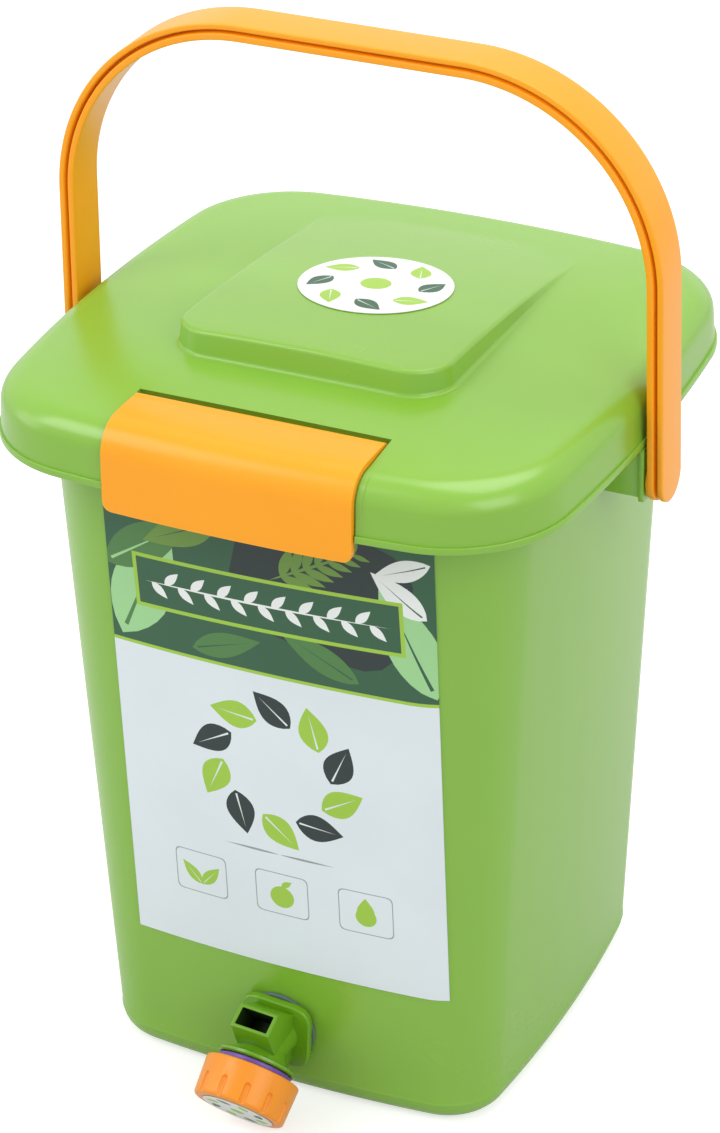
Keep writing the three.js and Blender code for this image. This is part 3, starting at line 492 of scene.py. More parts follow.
class GridOfCopies(ShapeTree):
    """Repeats a mesh on a grid, apart from kept-clear places."""

    sockets = (("Count X", "Int"), ("Count Y", "Int"), ("Size X", "Float"), ("Size Y", "Float"),
               ("Clear Middle", "Float"), ("Corner Place", "Float"), ("Clear Corner", "Float"))

    def shape(self, tree: NodeTree, given: NodeOutputs) -> NodeSocket:
        """Add the grid, the test for clear places and the copies.

        Args:
            tree: The tree.
            given: Sockets of its inputs.

        Returns:
            The socket with the copies.
        """
        grid = add_node(tree, "GeometryNodeMeshGrid", {
            "Size X": given["Size X"], "Size Y": given["Size Y"],
            "Vertices X": given["Count X"], "Vertices Y": given["Count Y"]})
        place = add_node(tree, "GeometryNodeInputPosition")["Position"]
        folded = add_node(tree, "ShaderNodeVectorMath", {0: place}, operation="ABSOLUTE")
        corner = add_node(tree, "ShaderNodeCombineXYZ",
                          {"X": given["Corner Place"], "Y": given["Corner Place"]})
        from_corner = add_node(tree, "ShaderNodeVectorMath",
                               {0: folded["Vector"], 1: corner["Vector"]}, operation="SUBTRACT")
        clear = add_node(tree, "FunctionNodeBooleanMath", {
            0: self._nearer(tree, place, given["Clear Middle"]),
            1: self._nearer(tree, from_corner["Vector"], given["Clear Corner"])}, operation="OR")
        thinned = add_node(tree, "GeometryNodeDeleteGeometry",
                           {"Geometry": grid["Mesh"], "Selection": clear["Boolean"]})
        return add_node(tree, "GeometryNodeInstanceOnPoints", {
            "Points": thinned["Geometry"], "Instance": given["Geometry"]})["Instances"]

    @staticmethod
    def _nearer(tree: NodeTree, vector: NodeSocket,
                limit: NodeSocket) -> NodeSocket:
        """Add a test of whether a vector is shorter than a limit."""
        length = add_node(tree, "ShaderNodeVectorMath", {0: vector}, operation="LENGTH")
        return add_node(tree, "FunctionNodeCompare", {"A": length["Value"], "B": limit},
                        data_type="FLOAT", operation="LESS_THAN")["Result"]


class RingOfCopies(ShapeTree):
    """Repeats a mesh round Z, turned to face outwards."""

    sockets = (("Count", "Int"), ("Radius", "Float"), ("Start", "Float"))

    def shape(self, tree: NodeTree, given: NodeOutputs) -> NodeSocket:
        """Add the ring of places and the copies.

        Args:
            tree: The tree.
            given: Sockets of its inputs.

        Returns:
            The socket with the copies.
        """
        circle = add_node(tree, "GeometryNodeMeshCircle",
                          {"Vertices": given["Count"], "Radius": given["Radius"]})
        start = add_node(tree, "ShaderNodeCombineXYZ", {"Z": given["Start"]})
        ring = add_node(tree, "GeometryNodeTransform",
                        {"Geometry": circle["Mesh"], "Rotation": start["Vector"]})
        place = add_node(tree, "GeometryNodeInputPosition")
        facing = add_node(tree, "FunctionNodeAlignRotationToVector", {"Vector": place["Position"]},
                          axis="X", pivot_axis="Z")
        return add_node(tree, "GeometryNodeInstanceOnPoints", {
            "Points": ring["Geometry"], "Instance": given["Geometry"],
            "Rotation": facing["Rotation"]})["Instances"]


class SweptOutline(ShapeTree):
    """Sweeps a closed flat outline along a line of edges."""

    sockets = (("Outline", "Object"),)

    def shape(self, tree: NodeTree, given: NodeOutputs) -> NodeSocket:
        """Add the sweep.

        Args:
            tree: The tree.
            given: Sockets of its inputs.

        Returns:
            The socket with the swept surface.
        """
        path = add_node(tree, "GeometryNodeMeshToCurve", {"Mesh": given["Geometry"]})
        info = add_node(tree, "GeometryNodeObjectInfo", {"Object": given["Outline"]})
        outline = add_node(tree, "GeometryNodeMeshToCurve", {"Mesh": info["Geometry"]})
        return add_node(tree, "GeometryNodeCurveToMesh", {
            "Curve": path["Curve"], "Profile Curve": outline["Curve"]})["Mesh"]


# Sizes and outlines of the bucket and the lid


@dataclass(frozen=True)
class BowedSquare:
    """A square with bowed sides and round corners."""

    half: float
    corner: float
    bow: float

    @property
    def side_radius(self) -> float:
        """Radius of each bowed side."""
        return (self.half**2 + self.bow**2) / (2 * self.bow)

    @property
    def side_centre(self) -> float:
        """Distance from the middle to the centre of a side's arc."""
        return self.half - self.side_radius

    @property
    def corner_centre(self) -> float:
        """Distance across and along from the middle to a corner's centre."""
        reach = self.side_radius - self.corner
        return (self.side_centre + math.sqrt(2 * reach**2 - self.side_centre**2)) / 2

    @property
    def side_angle(self) -> float:
        """Half the angle that a side's arc spans."""
        return math.atan2(self.corner_centre, self.corner_centre - self.side_centre)

    def ring(self, z: float, side_steps: int = 36, corner_steps: int = 24) -> np.ndarray:
        """Points round the outline at a height.

        Args:
            z: The height.
            side_steps: Points on each side.
            corner_steps: Points on each corner.

        Returns:
            The points, counter-clockwise from the right side.
        """
        side = self.side_angle * (2 * np.arange(side_steps) / side_steps - 1)
        sweep = self.side_angle + (QUARTER - 2 * self.side_angle) * np.arange(corner_steps) / corner_steps
        x = np.concatenate([self.side_centre + self.side_radius * np.cos(side),
                            self.corner_centre + self.corner * np.cos(sweep)])
        y = np.concatenate([self.side_radius * np.sin(side),
                            self.corner_centre + self.corner * np.sin(sweep)])
        quarters = [(x, y), (-y, x), (-x, -y), (y, -x)]
        flat = np.concatenate([np.stack(quarter, 1) for quarter in quarters])
        return np.column_stack([flat, np.full(len(flat), z)])

    def front(self, x: float) -> float:
        """Where the front side lies along Y, at a distance across from the middle.

        Args:
            x: The distance.

        Returns:
            The place along Y.
        """
        across = abs(x)
        if across <= self.side_radius * math.sin(self.side_angle):
            return -self.side_centre - math.sqrt(self.side_radius**2 - across**2)
        return -self.corner_centre - math.sqrt(self.corner**2 - (across - self.corner_centre) ** 2)

    def toward(self, other: BowedSquare, share: float) -> BowedSquare:
        """Blend this outline with another, which it equals at a share of 1."""
        return BowedSquare(*(here + (there - here) * share for here, there in (
            (self.half, other.half), (self.corner, other.corner), (self.bow, other.bow))))

    def out(self, distance: float) -> BowedSquare:
        """The same outline, moved out by a distance."""
        return BowedSquare(self.half + distance, self.corner + distance, self.bow)


@dataclass(frozen=True)
class BinSizes:
    """Driving sizes that several sub-assemblies share."""

    base: BowedSquare = BowedSquare(96.3 * MM, 27 * MM, 6.6 * MM)
    mouth: BowedSquare = BowedSquare(111.2 * MM, 45.5 * MM, 7.7 * MM)
    lip: BowedSquare = BowedSquare(130.5 * MM, 54 * MM, 9.6 * MM)
    shoulder_corner: float = 47 * MM
    shoulder_bow: float = 11.5 * MM
    inward_span: float = 0.12
    rim_z: float = 316 * MM
    wall: float = 2.4 * MM
    flange_half: float = 124.4 * MM
    lip_z: float = 305.3 * MM
    skirt_half: float = 129.5 * MM
    skirt_draft: float = 0.7 * MM
    shoulder_r: float = 12 * MM
    shoulder_z: float = 319.925 * MM
    crown: float = 6.5 * MM
    crown_z: float = 338.5 * MM
    pivot_z: float = 289 * MM
    bracket_plate: float = 2.4 * MM
    hinge_x: float = 50 * MM
    hinge_y: float = 136.5 * MM
    hinge_z: float = 309 * MM
    knuckle_r: float = 4.2 * MM
    print_dip: float = 0.2 * MM
    small_edge: float = 0.4 * MM
    fit: float = 0.3 * MM

    def wall_shape(self, z: float, out: float = 0) -> BowedSquare:
        """Outline of the bucket's wall at a height, moved out by a distance."""
        return self.base.toward(self.mouth, z / self.rim_z).out(out)

    def lip_shape(self, half: float) -> BowedSquare:
        """The lip's outline shrunk to a half width."""
        return self.lip.out(half - self.lip.half)

    @property
    def shoulder_centre(self) -> float:
        """Half width at which the lid's shoulder turns level."""
        return self.skirt_half - self.skirt_draft - self.shoulder_r

    def crown_at(self, distance: float) -> float:
        """Height of the lid's crowned top at a distance from its centre."""
        return self.crown_z - self.crown * (distance / self.shoulder_centre) ** 2

    def lid_section(self, out: float, start: float, end: float, end_out: float | None = None) -> Outline:
        """Half section of the lid's outside, moved out by a distance.

        Args:
            out: The distance.
            start: Height at which the skirt starts.
            end: Distance from the centre at which the crown ends.
            end_out: The distance at the crown's end, where it differs.

        Returns:
            Points of (distance from the centre, height).
        """
        skirt_steps, shoulder_steps, crown_steps, ease = 6, 20, 8, 1.4
        first = math.atan2(self.skirt_draft, self.shoulder_z - self.lip_z)
        last = QUARTER - math.atan2(2 * self.crown, self.shoulder_centre)
        shoulder = arc((self.shoulder_centre, self.shoulder_z), self.shoulder_r + out, first, last,
                       shoulder_steps)
        foot = np.array((self.skirt_half + out, start))
        skirt = [tuple(foot + (np.array(shoulder[0]) - foot) * i / skirt_steps)
                 for i in range(skirt_steps)]
        reach = shoulder[-1][0]
        fade = 0 if end_out is None else end_out - out
        crown = []
        for share in shares(crown_steps):
            distance = reach + (end - reach) * share
            crown.append((distance, self.crown_at(distance) + out + fade * share**ease))
        return skirt + shoulder + crown

    def lid_shape(self, reach: float, z: float) -> BowedSquare:
        """Outline of the lid at a point of its half section.

        Args:
            reach: Distance of the point from the centre.
            z: Its height.

        Returns:
            The outline.
        """
        climb = min(max((z - self.lip_z) / (self.shoulder_z + self.shoulder_r - self.lip_z), 0), 1)
        inward = soft_least(reach / self.shoulder_centre, 1, self.inward_span)
        lip_corner = self.lip.corner - (self.lip.half - max(reach, self.shoulder_centre))
        corner = (lip_corner + (self.shoulder_corner - lip_corner) * climb) * inward
        bow = (self.lip.bow + (self.shoulder_bow - self.lip.bow) * climb) * inward
        return BowedSquare(reach, corner, bow)

    def front_fall(self, x: float) -> float:
        """How far the lid's front falls back from its middle at a distance across."""
        return self.lip.front(x) + self.lip.half


SIZES = BinSizes()


# Finishes


def srgb(red: int, green: int, blue: int) -> tuple[float, float, float, float]:
    """Turn a screen colour, 0 to 255 a channel, into the linear colour that a shader takes.

    Args:
        red: Red.
        green: Green.
        blue: Blue.

    Returns:
        The linear colour with alpha.
    """
    def linear(value: int) -> float:
        """Linear value of one channel."""
        share = value / 255
        return share / 12.92 if share <= 0.04045 else ((share + 0.055) / 1.055) ** 2.4
    return linear(red), linear(green), linear(blue), 1.0


@dataclass(frozen=True)
class Finish:
    """A moulded, printed or metal finish, built as a node material on Object coordinates."""

    name: str
    colour: tuple[float, float, float, float]
    shade_colour: tuple[float, float, float, float]
    roughness: float
    roughness_spread: float = 0.06
    cloud_scale: float = 14
    cloud_detail: float = 3
    grain_scale: float = 1500
    grain_detail: float = 2
    grain_depth: float = 0.012 * MM
    grain_strength: float = 0.25
    metallic: float = 0
    subsurface: float = 0
    subsurface_depth: float = 2 * MM
    subsurface_tint: Point = (0.6, 1.0, 0.3)
    specular: float = 0.5

    def build(self) -> Material:
        """Make the material.

        Returns:
            The material, with clouded colour, uneven gloss and a fine grain.
        """
        material = new_material(self.name)
        tree = material.node_tree
        place = add_node(tree, "ShaderNodeTexCoord")["Object"]
        cloud = add_node(tree, "ShaderNodeTexNoise", {
            "Vector": place, "Scale": self.cloud_scale, "Detail": self.cloud_detail})["Fac"]
        colour = add_node(tree, "ShaderNodeMix", {
            "Factor": cloud, "A": self.shade_colour, "B": self.colour}, data_type="RGBA")
        gloss = add_node(tree, "ShaderNodeMapRange", {
            "Value": cloud, "To Min": self.roughness - self.roughness_spread,
            "To Max": self.roughness + self.roughness_spread})
        grain = add_node(tree, "ShaderNodeTexNoise", {
            "Vector": place, "Scale": self.grain_scale, "Detail": self.grain_detail})
        bump = add_node(tree, "ShaderNodeBump", {
            "Strength": self.grain_strength, "Distance": self.grain_depth, "Height": grain["Fac"]})
        surface = {"Base Color": colour["Result"], "Roughness": gloss["Result"], "Normal": bump["Normal"],
                   "Metallic": self.metallic, "Specular IOR Level": self.specular}
        if self.subsurface:
            surface |= {"Subsurface Weight": self.subsurface, "Subsurface Radius": self.subsurface_tint,
                        "Subsurface Scale": self.subsurface_depth}
        shader = add_node(tree, "ShaderNodeBsdfPrincipled", surface)
        add_node(tree, "ShaderNodeOutputMaterial", {"Surface": shader["BSDF"]})
        return material


class Slot(Enum):
    """The record's material slots."""

    GREEN = "bin_green"
    ORANGE = "orange"
    TAP = "tap_green"
    PURPLE = "purple"
    GREY_RUBBER = "grey_rubber"
    BLACK_RUBBER = "black_rubber"
    PRINT = "print"
    STEEL = "steel"

    def finish(self) -> Finish:
        """The slot's finish."""
        return FINISHES[self]


FINISHES = {
    Slot.GREEN: Finish("bin_green_plastic", srgb(133, 184, 58), srgb(126, 178, 52), 0.26, 0.04,
                       subsurface=0.1, specular=0.65),
    Slot.ORANGE: Finish("orange_plastic", srgb(254, 168, 28), srgb(250, 161, 24), 0.3, subsurface=0.1,
                        specular=0.36),
    Slot.TAP: Finish("tap_green_plastic", srgb(110, 164, 24), srgb(98, 152, 20), 0.26, grain_strength=0.1),
    Slot.PURPLE: Finish("purple_plastic", srgb(118, 78, 176), srgb(104, 66, 156), 0.36),
    Slot.GREY_RUBBER: Finish("grey_rubber", srgb(92, 116, 108), srgb(84, 106, 98), 0.6),
    Slot.BLACK_RUBBER: Finish("black_rubber", srgb(42, 42, 42), srgb(34, 34, 34), 0.65),
    Slot.STEEL: Finish("plain_steel", srgb(190, 192, 196), srgb(176, 178, 182), 0.3, metallic=1),
}


class Ink(Enum):
    """Inks of the printed label and stickers, with their screen colours."""

    WHITE = (226, 236, 239)
    DARK = (44, 92, 62)
    NIGHT = (30, 48, 46)
    MID = (76, 128, 66)
    OLIVE = (110, 150, 62)
    PALE = (160, 214, 148)
    LIME = (160, 204, 66)
    GREY = (150, 160, 158)
    CHALK = (240, 245, 242)

    def finish(self) -> Finish:
        """The ink's finish: slightly clouded, with a low gloss.

        Returns:
            The finish.
        """
        shade_share = 0.95
        shaded = srgb(*(int(value * shade_share) for value in self.value))
        return Finish(f"ink_{self.name.lower()}", srgb(*self.value), shaded, 0.42, cloud_scale=22,
                      grain_strength=0.08)


class Extra(Enum):
    """Finishes of the tap that no slot of the record has: a dark green of painted shade for the spout's
    inside and the piston, and the redder knob.
    """

    # Painted shade: this dark green stands in for the shade deep in the spout's channel.
    VALVE = Finish("valve_dark_green", srgb(30, 52, 12), srgb(22, 40, 10), 0.5, specular=0.2)
    KNOB = Finish("knob_orange_plastic", srgb(245, 151, 34), srgb(241, 145, 30), 0.3, subsurface=0.1,
                  specular=0.36)

    def finish(self) -> Finish:
        """The finish itself."""
        return self.value


@dataclass
class Workshop:
    """Builds each material once, dresses finished pieces and ties them to the frame."""

    materials: dict[Enum, Material] = field(default_factory=dict)

    def material(self, key: Slot | Ink | Extra) -> Material:
        """The material of a slot, an ink or an extra finish.

        Args:
            key: The slot, ink or extra finish.

        Returns:
            Its material.
        """
        if key not in self.materials:
            self.materials[key] = key.finish().build()
        return self.materials[key]

    def dress(self, piece: Object, slot: Slot, body: str, node: str,
              sharp_angle: float = 38) -> None:
        """Shade a finished piece, give it its material, tie it to its body and hide the CAD node that it
        stands for.

        Args:
            piece: The finished object.
            slot: The record's slot of its finish.
            body: The CAD body that it rides.
            node: The CAD node that it replaces.
            sharp_angle: Edges sharper than this many degrees stay sharp.
        """
        piece.data.shade_smooth()
        piece.data.set_sharp_from_angle(angle=math.radians(sharp_angle))
        if slot is not Slot.PRINT:
            piece.data.materials.clear()
            piece.data.materials.append(self.material(slot))
        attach(piece, body)
        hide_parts(node)
        LOG.info("%s: %d faces on %s", piece.name, len(piece.data.polygons), body)


# The bucket


def at_both_hinges(parts: Object, name: str, shop: Workshop) -> None:
    """Soften one hinge's parts and repeat them at the left and the right hinge.

    Args:
        parts: The parts, centred on X = 0.
        name: Name of the tree.
        shop: Gives the material.
    """
    soften(parts, SIZES.small_edge, 2)
    GridOfCopies(name).remake(parts, shop.material(Slot.GREEN), Count_X=2, Count_Y=1,
                              Size_X=2 * SIZES.hinge_x)


@dataclass
class Bucket:
    """The tapered bucket with its rim flange, bail brackets and hinge ears."""

    floor: float = 2.8 * MM
    fillet: float = 9 * MM
    bead: float = 0.3 * MM
    bead_height: float = 2.4 * MM
    recess_depth: float = 1 * MM
    recess_margin: float = 14 * MM
    pad_r: float = 28 * MM
    gate_r: float = 4 * MM
    rim_edge: float = 0.7 * MM
    flange_thick: float = 2 * MM
    flange_drop: float = 4.5 * MM
    flange_skirt: float = 8 * MM
    bracket_half: float = 9 * MM
    plate_half: float = 10 * MM
    plate_out: float = 130.6 * MM
    web: float = 2 * MM
    web_below: float = 7.5 * MM
    plate_below: float = 9.5 * MM
    ear_inside: float = 6.3 * MM
    ear_thick: float = 4 * MM
    ear_depth: float = 5 * MM
    wall_steps: int = 24
    inside_steps: int = 16
    round_steps: int = 8
    floor_steps: int = 6
    bead_steps: int = 5

    def shell(self) -> Skin:
        """The walled bucket, from the pad under the base to the floor inside.

        Returns:
            One closed surface.
        """
        s = SIZES
        angles = all_round(len(s.base.ring(0))) - s.base.side_angle
        pad = ((self.gate_r, self.recess_depth / 2), (self.gate_r + self.rim_edge, 0),
               (self.pad_r - self.rim_edge, 0), (self.pad_r, self.rim_edge / 2),
               (self.pad_r, self.recess_depth))
        rings = [hoop(radius, z, angles) for radius, z in pad]
        foot_in = -self.recess_margin
        walls = [(0, foot_in, self.recess_depth), (0, foot_in, self.rim_edge / 2),
                 (0, foot_in + self.rim_edge, 0)]
        for share in (0, *shares(self.round_steps)):
            z = self.fillet * (1 - math.cos(QUARTER * share))
            walls.append((z, self.fillet * (math.sin(QUARTER * share) - 1), z))
        low, high = self.fillet, s.rim_z - self.rim_edge
        for share in shares(self.bead_steps):
            z = low + self.bead_height * share
            walls.append((z, self.bead * math.sin(math.pi * share) ** 2, z))
        low += self.bead_height
        for share in shares(self.wall_steps):
            z = low + (high - low) * share
            walls.append((z, 0, z))
        for share in shares(self.round_steps)[:-1]:
            out = s.wall / 2 * (math.cos(math.pi * share) - 1)
            walls.append((high, out, high + self.rim_edge * math.sin(math.pi * share)))
        for share in (0, *shares(self.inside_steps)):
            z = high + (self.floor + self.fillet - high) * share
            walls.append((z, -s.wall, z))
        for share in shares(self.floor_steps):
            z = self.floor + self.fillet * (1 - math.sin(QUARTER * share))
            walls.append((z, -s.wall - self.fillet * (1 - math.cos(QUARTER * share)), z))
        rings += [s.wall_shape(level, out).ring(z) for level, out, z in walls]
        return loft(rings, Cap.POLE)

    def flange(self) -> Skin:
        """The shelf round the mouth with its turned-down edge.

        Returns:
            A closed ring.
        """
        s = SIZES
        top, half = s.rim_z - self.flange_drop, s.flange_half
        inner = s.mouth.half - s.wall / 2
        low, under, inside = top - self.flange_skirt, top - self.flange_thick, half - self.flange_thick
        section = rounded([(inner, top), (half, top), (half, low), (inside, low), (inside, under),
                           (inner, under)], self.rim_edge, 3)
        outer, wall = s.lip_shape(half), s.mouth.out(-s.wall / 2)
        rings = [wall.toward(outer, (at - inner) / (half - inner)).ring(z) for at, z in section]
        return loft(rings, closed=True)

    def bracket(self, side: int) -> Skin:
        """One side bracket: two webs and the plate that carries the bail's peg.

        Args:
            side: -1 for left, 1 for right.

        Returns:
            The bracket's surface.
        """
        s = SIZES
        top = s.rim_z - self.flange_drop - self.flange_thick
        wall_in = s.wall_shape(s.pivot_z).half - s.wall / 2
        plate_in = self.plate_out - s.bracket_plate
        web_low = s.pivot_z - self.web_below
        web_out = plate_in + self.web / 2
        under = s.flange_half - self.flange_thick / 2
        plate_top = s.lip_z - 2 * s.fit
        outline = [(wall_in, web_low), (web_out, web_low), (web_out, plate_top), (under, plate_top),
                   (under, top), (wall_in, top)]
        skin = Skin()
        for y in (-self.bracket_half, self.bracket_half - self.web):
            skin.add(prism([(side * x, z) for x, z in outline], along_y, y, y + self.web))
        plate = rounded(rectangle(-self.plate_half, s.pivot_z - self.plate_below, self.plate_half,
                                  plate_top), self.web, 5)
        return skin.add(prism(plate, along_x, side * plate_in, side * self.plate_out))

    def ear_pair(self) -> Skin:
        """The two ears of one rear hinge.

        Returns:
            Both ears, centred on X = 0.
        """
        s = SIZES
        wall_y = s.wall_shape(s.lip_z).half - s.wall / 2
        top = s.lip_z - 2 * s.fit
        low = top - self.ear_depth
        eye = arc((s.hinge_y, s.hinge_z), s.knuckle_r, 0, math.pi, 24)
        outline = [(wall_y, top), (wall_y, low), (s.hinge_y, low),
                   (s.hinge_y + s.knuckle_r, s.hinge_z - s.knuckle_r), *eye,
                   (s.hinge_y - s.knuckle_r, top)]
        skin = Skin()
        for side in (-1, 1):
            faces = sorted((side * self.ear_inside, side * (self.ear_inside + self.ear_thick)))
            skin.add(prism(outline, along_x, *faces))
        return skin

    def make(self, shop: Workshop, tap_matrix: Matrix, shank_r: float) -> None:
        """Build and dress the bucket.

        Args:
            shop: Dresses the piece.
            tap_matrix: Where the tap goes through the wall.
            shank_r: Radius of the tap's shank.
        """
        body = new_object("bucket", self.shell())
        reach = 3 * self.fillet
        drill = turned(pin_profile(shank_r + SIZES.fit, 2 * reach, SIZES.fit), 48)
        turn = Matrix.Rotation(QUARTER, 4, "X")
        place = tap_matrix @ Matrix.Translation((0, reach, 0)) @ turn
        boolean(body, new_object("drill", drill.moved(place)))
        trim = new_object("bucket_trim", self.flange().add(self.bracket(-1)).add(self.bracket(1)))
        soften(trim, SIZES.small_edge, 2)
        ears = new_object("bucket_ears", self.ear_pair())
        at_both_hinges(ears, "ears_each_side", shop)
        join_into(body, trim, ears)
        shop.dress(body, Slot.GREEN, "bin", "bin_body")


# The lid, its seal and its latch


@dataclass
class Lid:
    """The moulded lid with its raised wedge, lip, seal and hinge knuckles."""

    wall: float = 2.4 * MM
    lip_step: float = 1 * MM
    lip_height: float = 3.3 * MM
    lip_round: float = 0.8 * MM
    wedge_half: float = 62 * MM
    wedge_front: float = 62 * MM
    wedge_back: float = 100 * MM
    wedge_rise: float = 12 * MM
    wedge_corner: float = 19 * MM
    wedge_draft_deg: float = 6
    wedge_edge: float = 2.2 * MM
    wedge_foot: float = 2 * MM
    wedge_blend: float = 0.8 * MM
    wedge_fade: float = 14 * MM
    wedge_middle: Pair = (0, 15 * MM)
    border: float = 109 * MM
    side_steps: int = 64
    corner_steps: int = 36
    apron_steps: int = 10
    middle_steps: int = 17
    last_ring_share: float = 0.04
    seal_height: float = 5.2 * MM
    seal_width: float = 6 * MM
    seal_depth: float = 4 * MM
    seal_round: float = 1.6 * MM
    rib: float = 2.2 * MM
    rib_sink_share: float = 0.8
    knuckle_width: float = 12 * MM

    def _shape_ring(self, reach: float, z: float) -> np.ndarray:
        """Points of the lid's outline at a point of its half section."""
        return SIZES.lid_shape(reach, z).ring(z, self.side_steps, self.corner_steps)

    def wedge_plan(self, out: float) -> np.ndarray:
        """Outline of the wedge seen from above.

        Args:
            out: Distance that it is moved out by.

        Returns:
            Its points, counter-clockwise from the right side.
        """
        right, back = self.wedge_half - self.wedge_corner, self.wedge_back - self.wedge_corner
        front = self.wedge_corner - self.wedge_front
        centres = [np.array(c) for c in ((right, back), (-right, back), (-right, front), (right, front))]
        corner = self.wedge_corner + out
        parts = []
        for quarter, centre in enumerate(centres):
            angles = (quarter + np.arange(self.corner_steps) / self.corner_steps) * QUARTER
            bend = centre + corner * np.stack([np.cos(angles), np.sin(angles)], 1)
            along = np.arange(self.side_steps)[:, None] / self.side_steps
            parts += [bend[0] + (centres[quarter - 1] - centre) * (1 - along), bend]
        return np.concatenate(parts)

    def wedge_face(self) -> Outline:
        """Section of the wedge's face.

        Returns:
            Points of (distance out from its plan, share of its rise).
        """
        draft, steps = math.radians(self.wedge_draft_deg), 6
        reach_share = math.tan((QUARTER - draft) / 2)
        foot, edge = self.wedge_foot, self.wedge_edge
        edge_x = -self.wedge_rise * math.tan(draft) - edge * reach_share
        points = arc((foot * reach_share, foot), foot, 3 * QUARTER, 2 * QUARTER + draft, steps)
        points += arc((edge_x, self.wedge_rise - edge), edge, draft, QUARTER, steps)
        return [(x, z / self.wedge_rise) for x, z in points]

    def height(self, flat: np.ndarray, share: float) -> np.ndarray:
        """Height of the lid's top at places near and on the wedge.

        Args:
            flat: The places, seen from above.
            share: Share of the wedge's rise that they have.

        Returns:
            The heights.
        """
        s = SIZES
        model = self._shape_ring(self.wedge_back, s.crown_z)
        angles, radii = np.arctan2(model[:, 1], model[:, 0]), np.hypot(model[:, 0], model[:, 1])
        distance = np.hypot(flat[:, 0], flat[:, 1])
        width = np.interp(np.arctan2(flat[:, 1], flat[:, 0]), angles, radii, period=TURN)
        base = s.crown_at(self.wedge_back * distance / width)
        from_back = self.wedge_back - flat[:, 1]
        rise = self.wedge_rise * from_back / (self.wedge_back + self.wedge_front)
        lift = soft_positive(s.crown_at(distance) + rise - base, self.wedge_blend)
        return base + lift * share * smooth_step(from_back / self.wedge_fade)

    def top_at(self, x: float, y: float) -> float:
        """Height of the wedge's top at a place."""
        return float(self.height(np.array([[x, y]]), 1)[0])

    def top(self, inset: float) -> list[np.ndarray]:
        """Rings of the lid's top, from inside the shoulder to the middle.

        Args:
            inset: How far the rings lie under the outside.

        Returns:
            The rings.
        """
        face = self.wedge_face()
        border = self._shape_ring(self.border, SIZES.crown_z)[:, :2]
        foot = self.wedge_plan(face[0][0] - inset)
        rim = self.wedge_plan(face[-1][0] - inset)
        middle = np.array(self.wedge_middle)
        flats = [(border + (foot - border) * t, 0) for t in shares(self.apron_steps)[:-1]]
        flats += [(self.wedge_plan(out - inset), share) for out, share in face]
        flats += [(rim + (middle - rim) * (1 - self.last_ring_share) * t, 1)
                  for t in shares(self.middle_steps)]
        return [np.column_stack([flat, self.height(flat, share) - inset]) for flat, share in flats]

    def shell(self) -> Skin:
        """The lid, from the middle of its top to the middle of its underside.

        Returns:
            One closed surface.
        """
        s = SIZES
        foot, low, top, steps = s.skirt_half, s.lip_z, s.lip_z + self.lip_height, 4
        lip = rounded([(foot, top), (foot + self.lip_step, top), (foot + self.lip_step, low),
                       (foot - self.wall, low)], self.lip_round, steps)[steps + 1:-steps - 1]
        rings = self.top(0)[::-1]
        rings += [self._shape_ring(*point) for point in s.lid_section(0, top, self.border)[::-1]]
        rings += [s.lip_shape(half).ring(z, self.side_steps, self.corner_steps) for half, z in lip]
        rings += [self._shape_ring(*point)
                  for point in s.lid_section(-self.wall, low + self.lip_round, self.border)]
        return loft(rings + self.top(self.wall), Cap.POLE)

    def seal_ring(self, outline: Outline) -> Skin:
        """A closed ring along the seal's middle line, from a section of (distance out, height)."""
        return loft([SIZES.mouth.out(out - SIZES.wall / 2).ring(z) for out, z in outline], closed=True)

    def ribs(self) -> Skin:
        """The two ribs under the lid that hold the seal between them.

        Returns:
            Both ribs.
        """
        s = SIZES
        low = s.rim_z + self.seal_height - self.seal_depth + s.fit
        top = s.crown_at(s.mouth.half) - self.rib_sink_share * self.wall
        half = self.seal_width / 2 + s.fit
        skin = Skin()
        for start in (-half - self.rib, half):
            skin.add(self.seal_ring(rounded(rectangle(start, low, start + self.rib, top),
                                            self.lip_round, 3)))
        return skin

    def knuckle(self) -> Skin:
        """The lid's half of one rear hinge.

        Returns:
            The knuckle, centred on X = 0.
        """
        s = SIZES
        half = self.knuckle_width / 2
        root = -s.lip_shape(s.skirt_half - self.wall / 2).front(s.hinge_x + half)
        eye = arc((s.hinge_y, s.hinge_z), s.knuckle_r, QUARTER, -QUARTER, 24)
        outline = [(root, s.hinge_z - s.knuckle_r + 2 * s.fit), (root, s.hinge_z + s.knuckle_r), *eye]
        return prism(outline, along_x, -half, half)

    def seal(self) -> Skin:
        """The soft ring that closes on the bucket's rim, with rounded edges.

        Returns:
            The seal.
        """
        low, half = SIZES.rim_z + SIZES.fit, self.seal_width / 2
        return self.seal_ring(rounded(rectangle(-half, low, half, low + self.seal_height),
                                      self.seal_round, 5))

    def make(self, shop: Workshop, latch: Latch) -> None:
        """Build and dress the lid and its seal.

        Args:
            shop: Dresses the pieces.
            latch: The latch, which gives the pocket its size.
        """
        lid = new_object("lid", self.shell())
        boolean(lid, new_object("pocket_backing", latch.backing()), "UNION")
        boolean(lid, new_object("pocket_ridge", latch.ridge()), "UNION")
        boolean(lid, new_object("pocket", latch.pocket()))
        boolean(lid, new_object("pocket_groove", latch.groove()))
        knuckles = new_object("lid_knuckles", self.knuckle())
        at_both_hinges(knuckles, "knuckles_each_side", shop)
        join_into(lid, new_object("seal_ribs", self.ribs()), knuckles)
        shop.dress(lid, Slot.GREEN, "lid", "lid_shell", 30)
        shop.dress(new_object("seal_ring", self.seal()), Slot.GREY_RUBBER, "lid", "lid_seal")


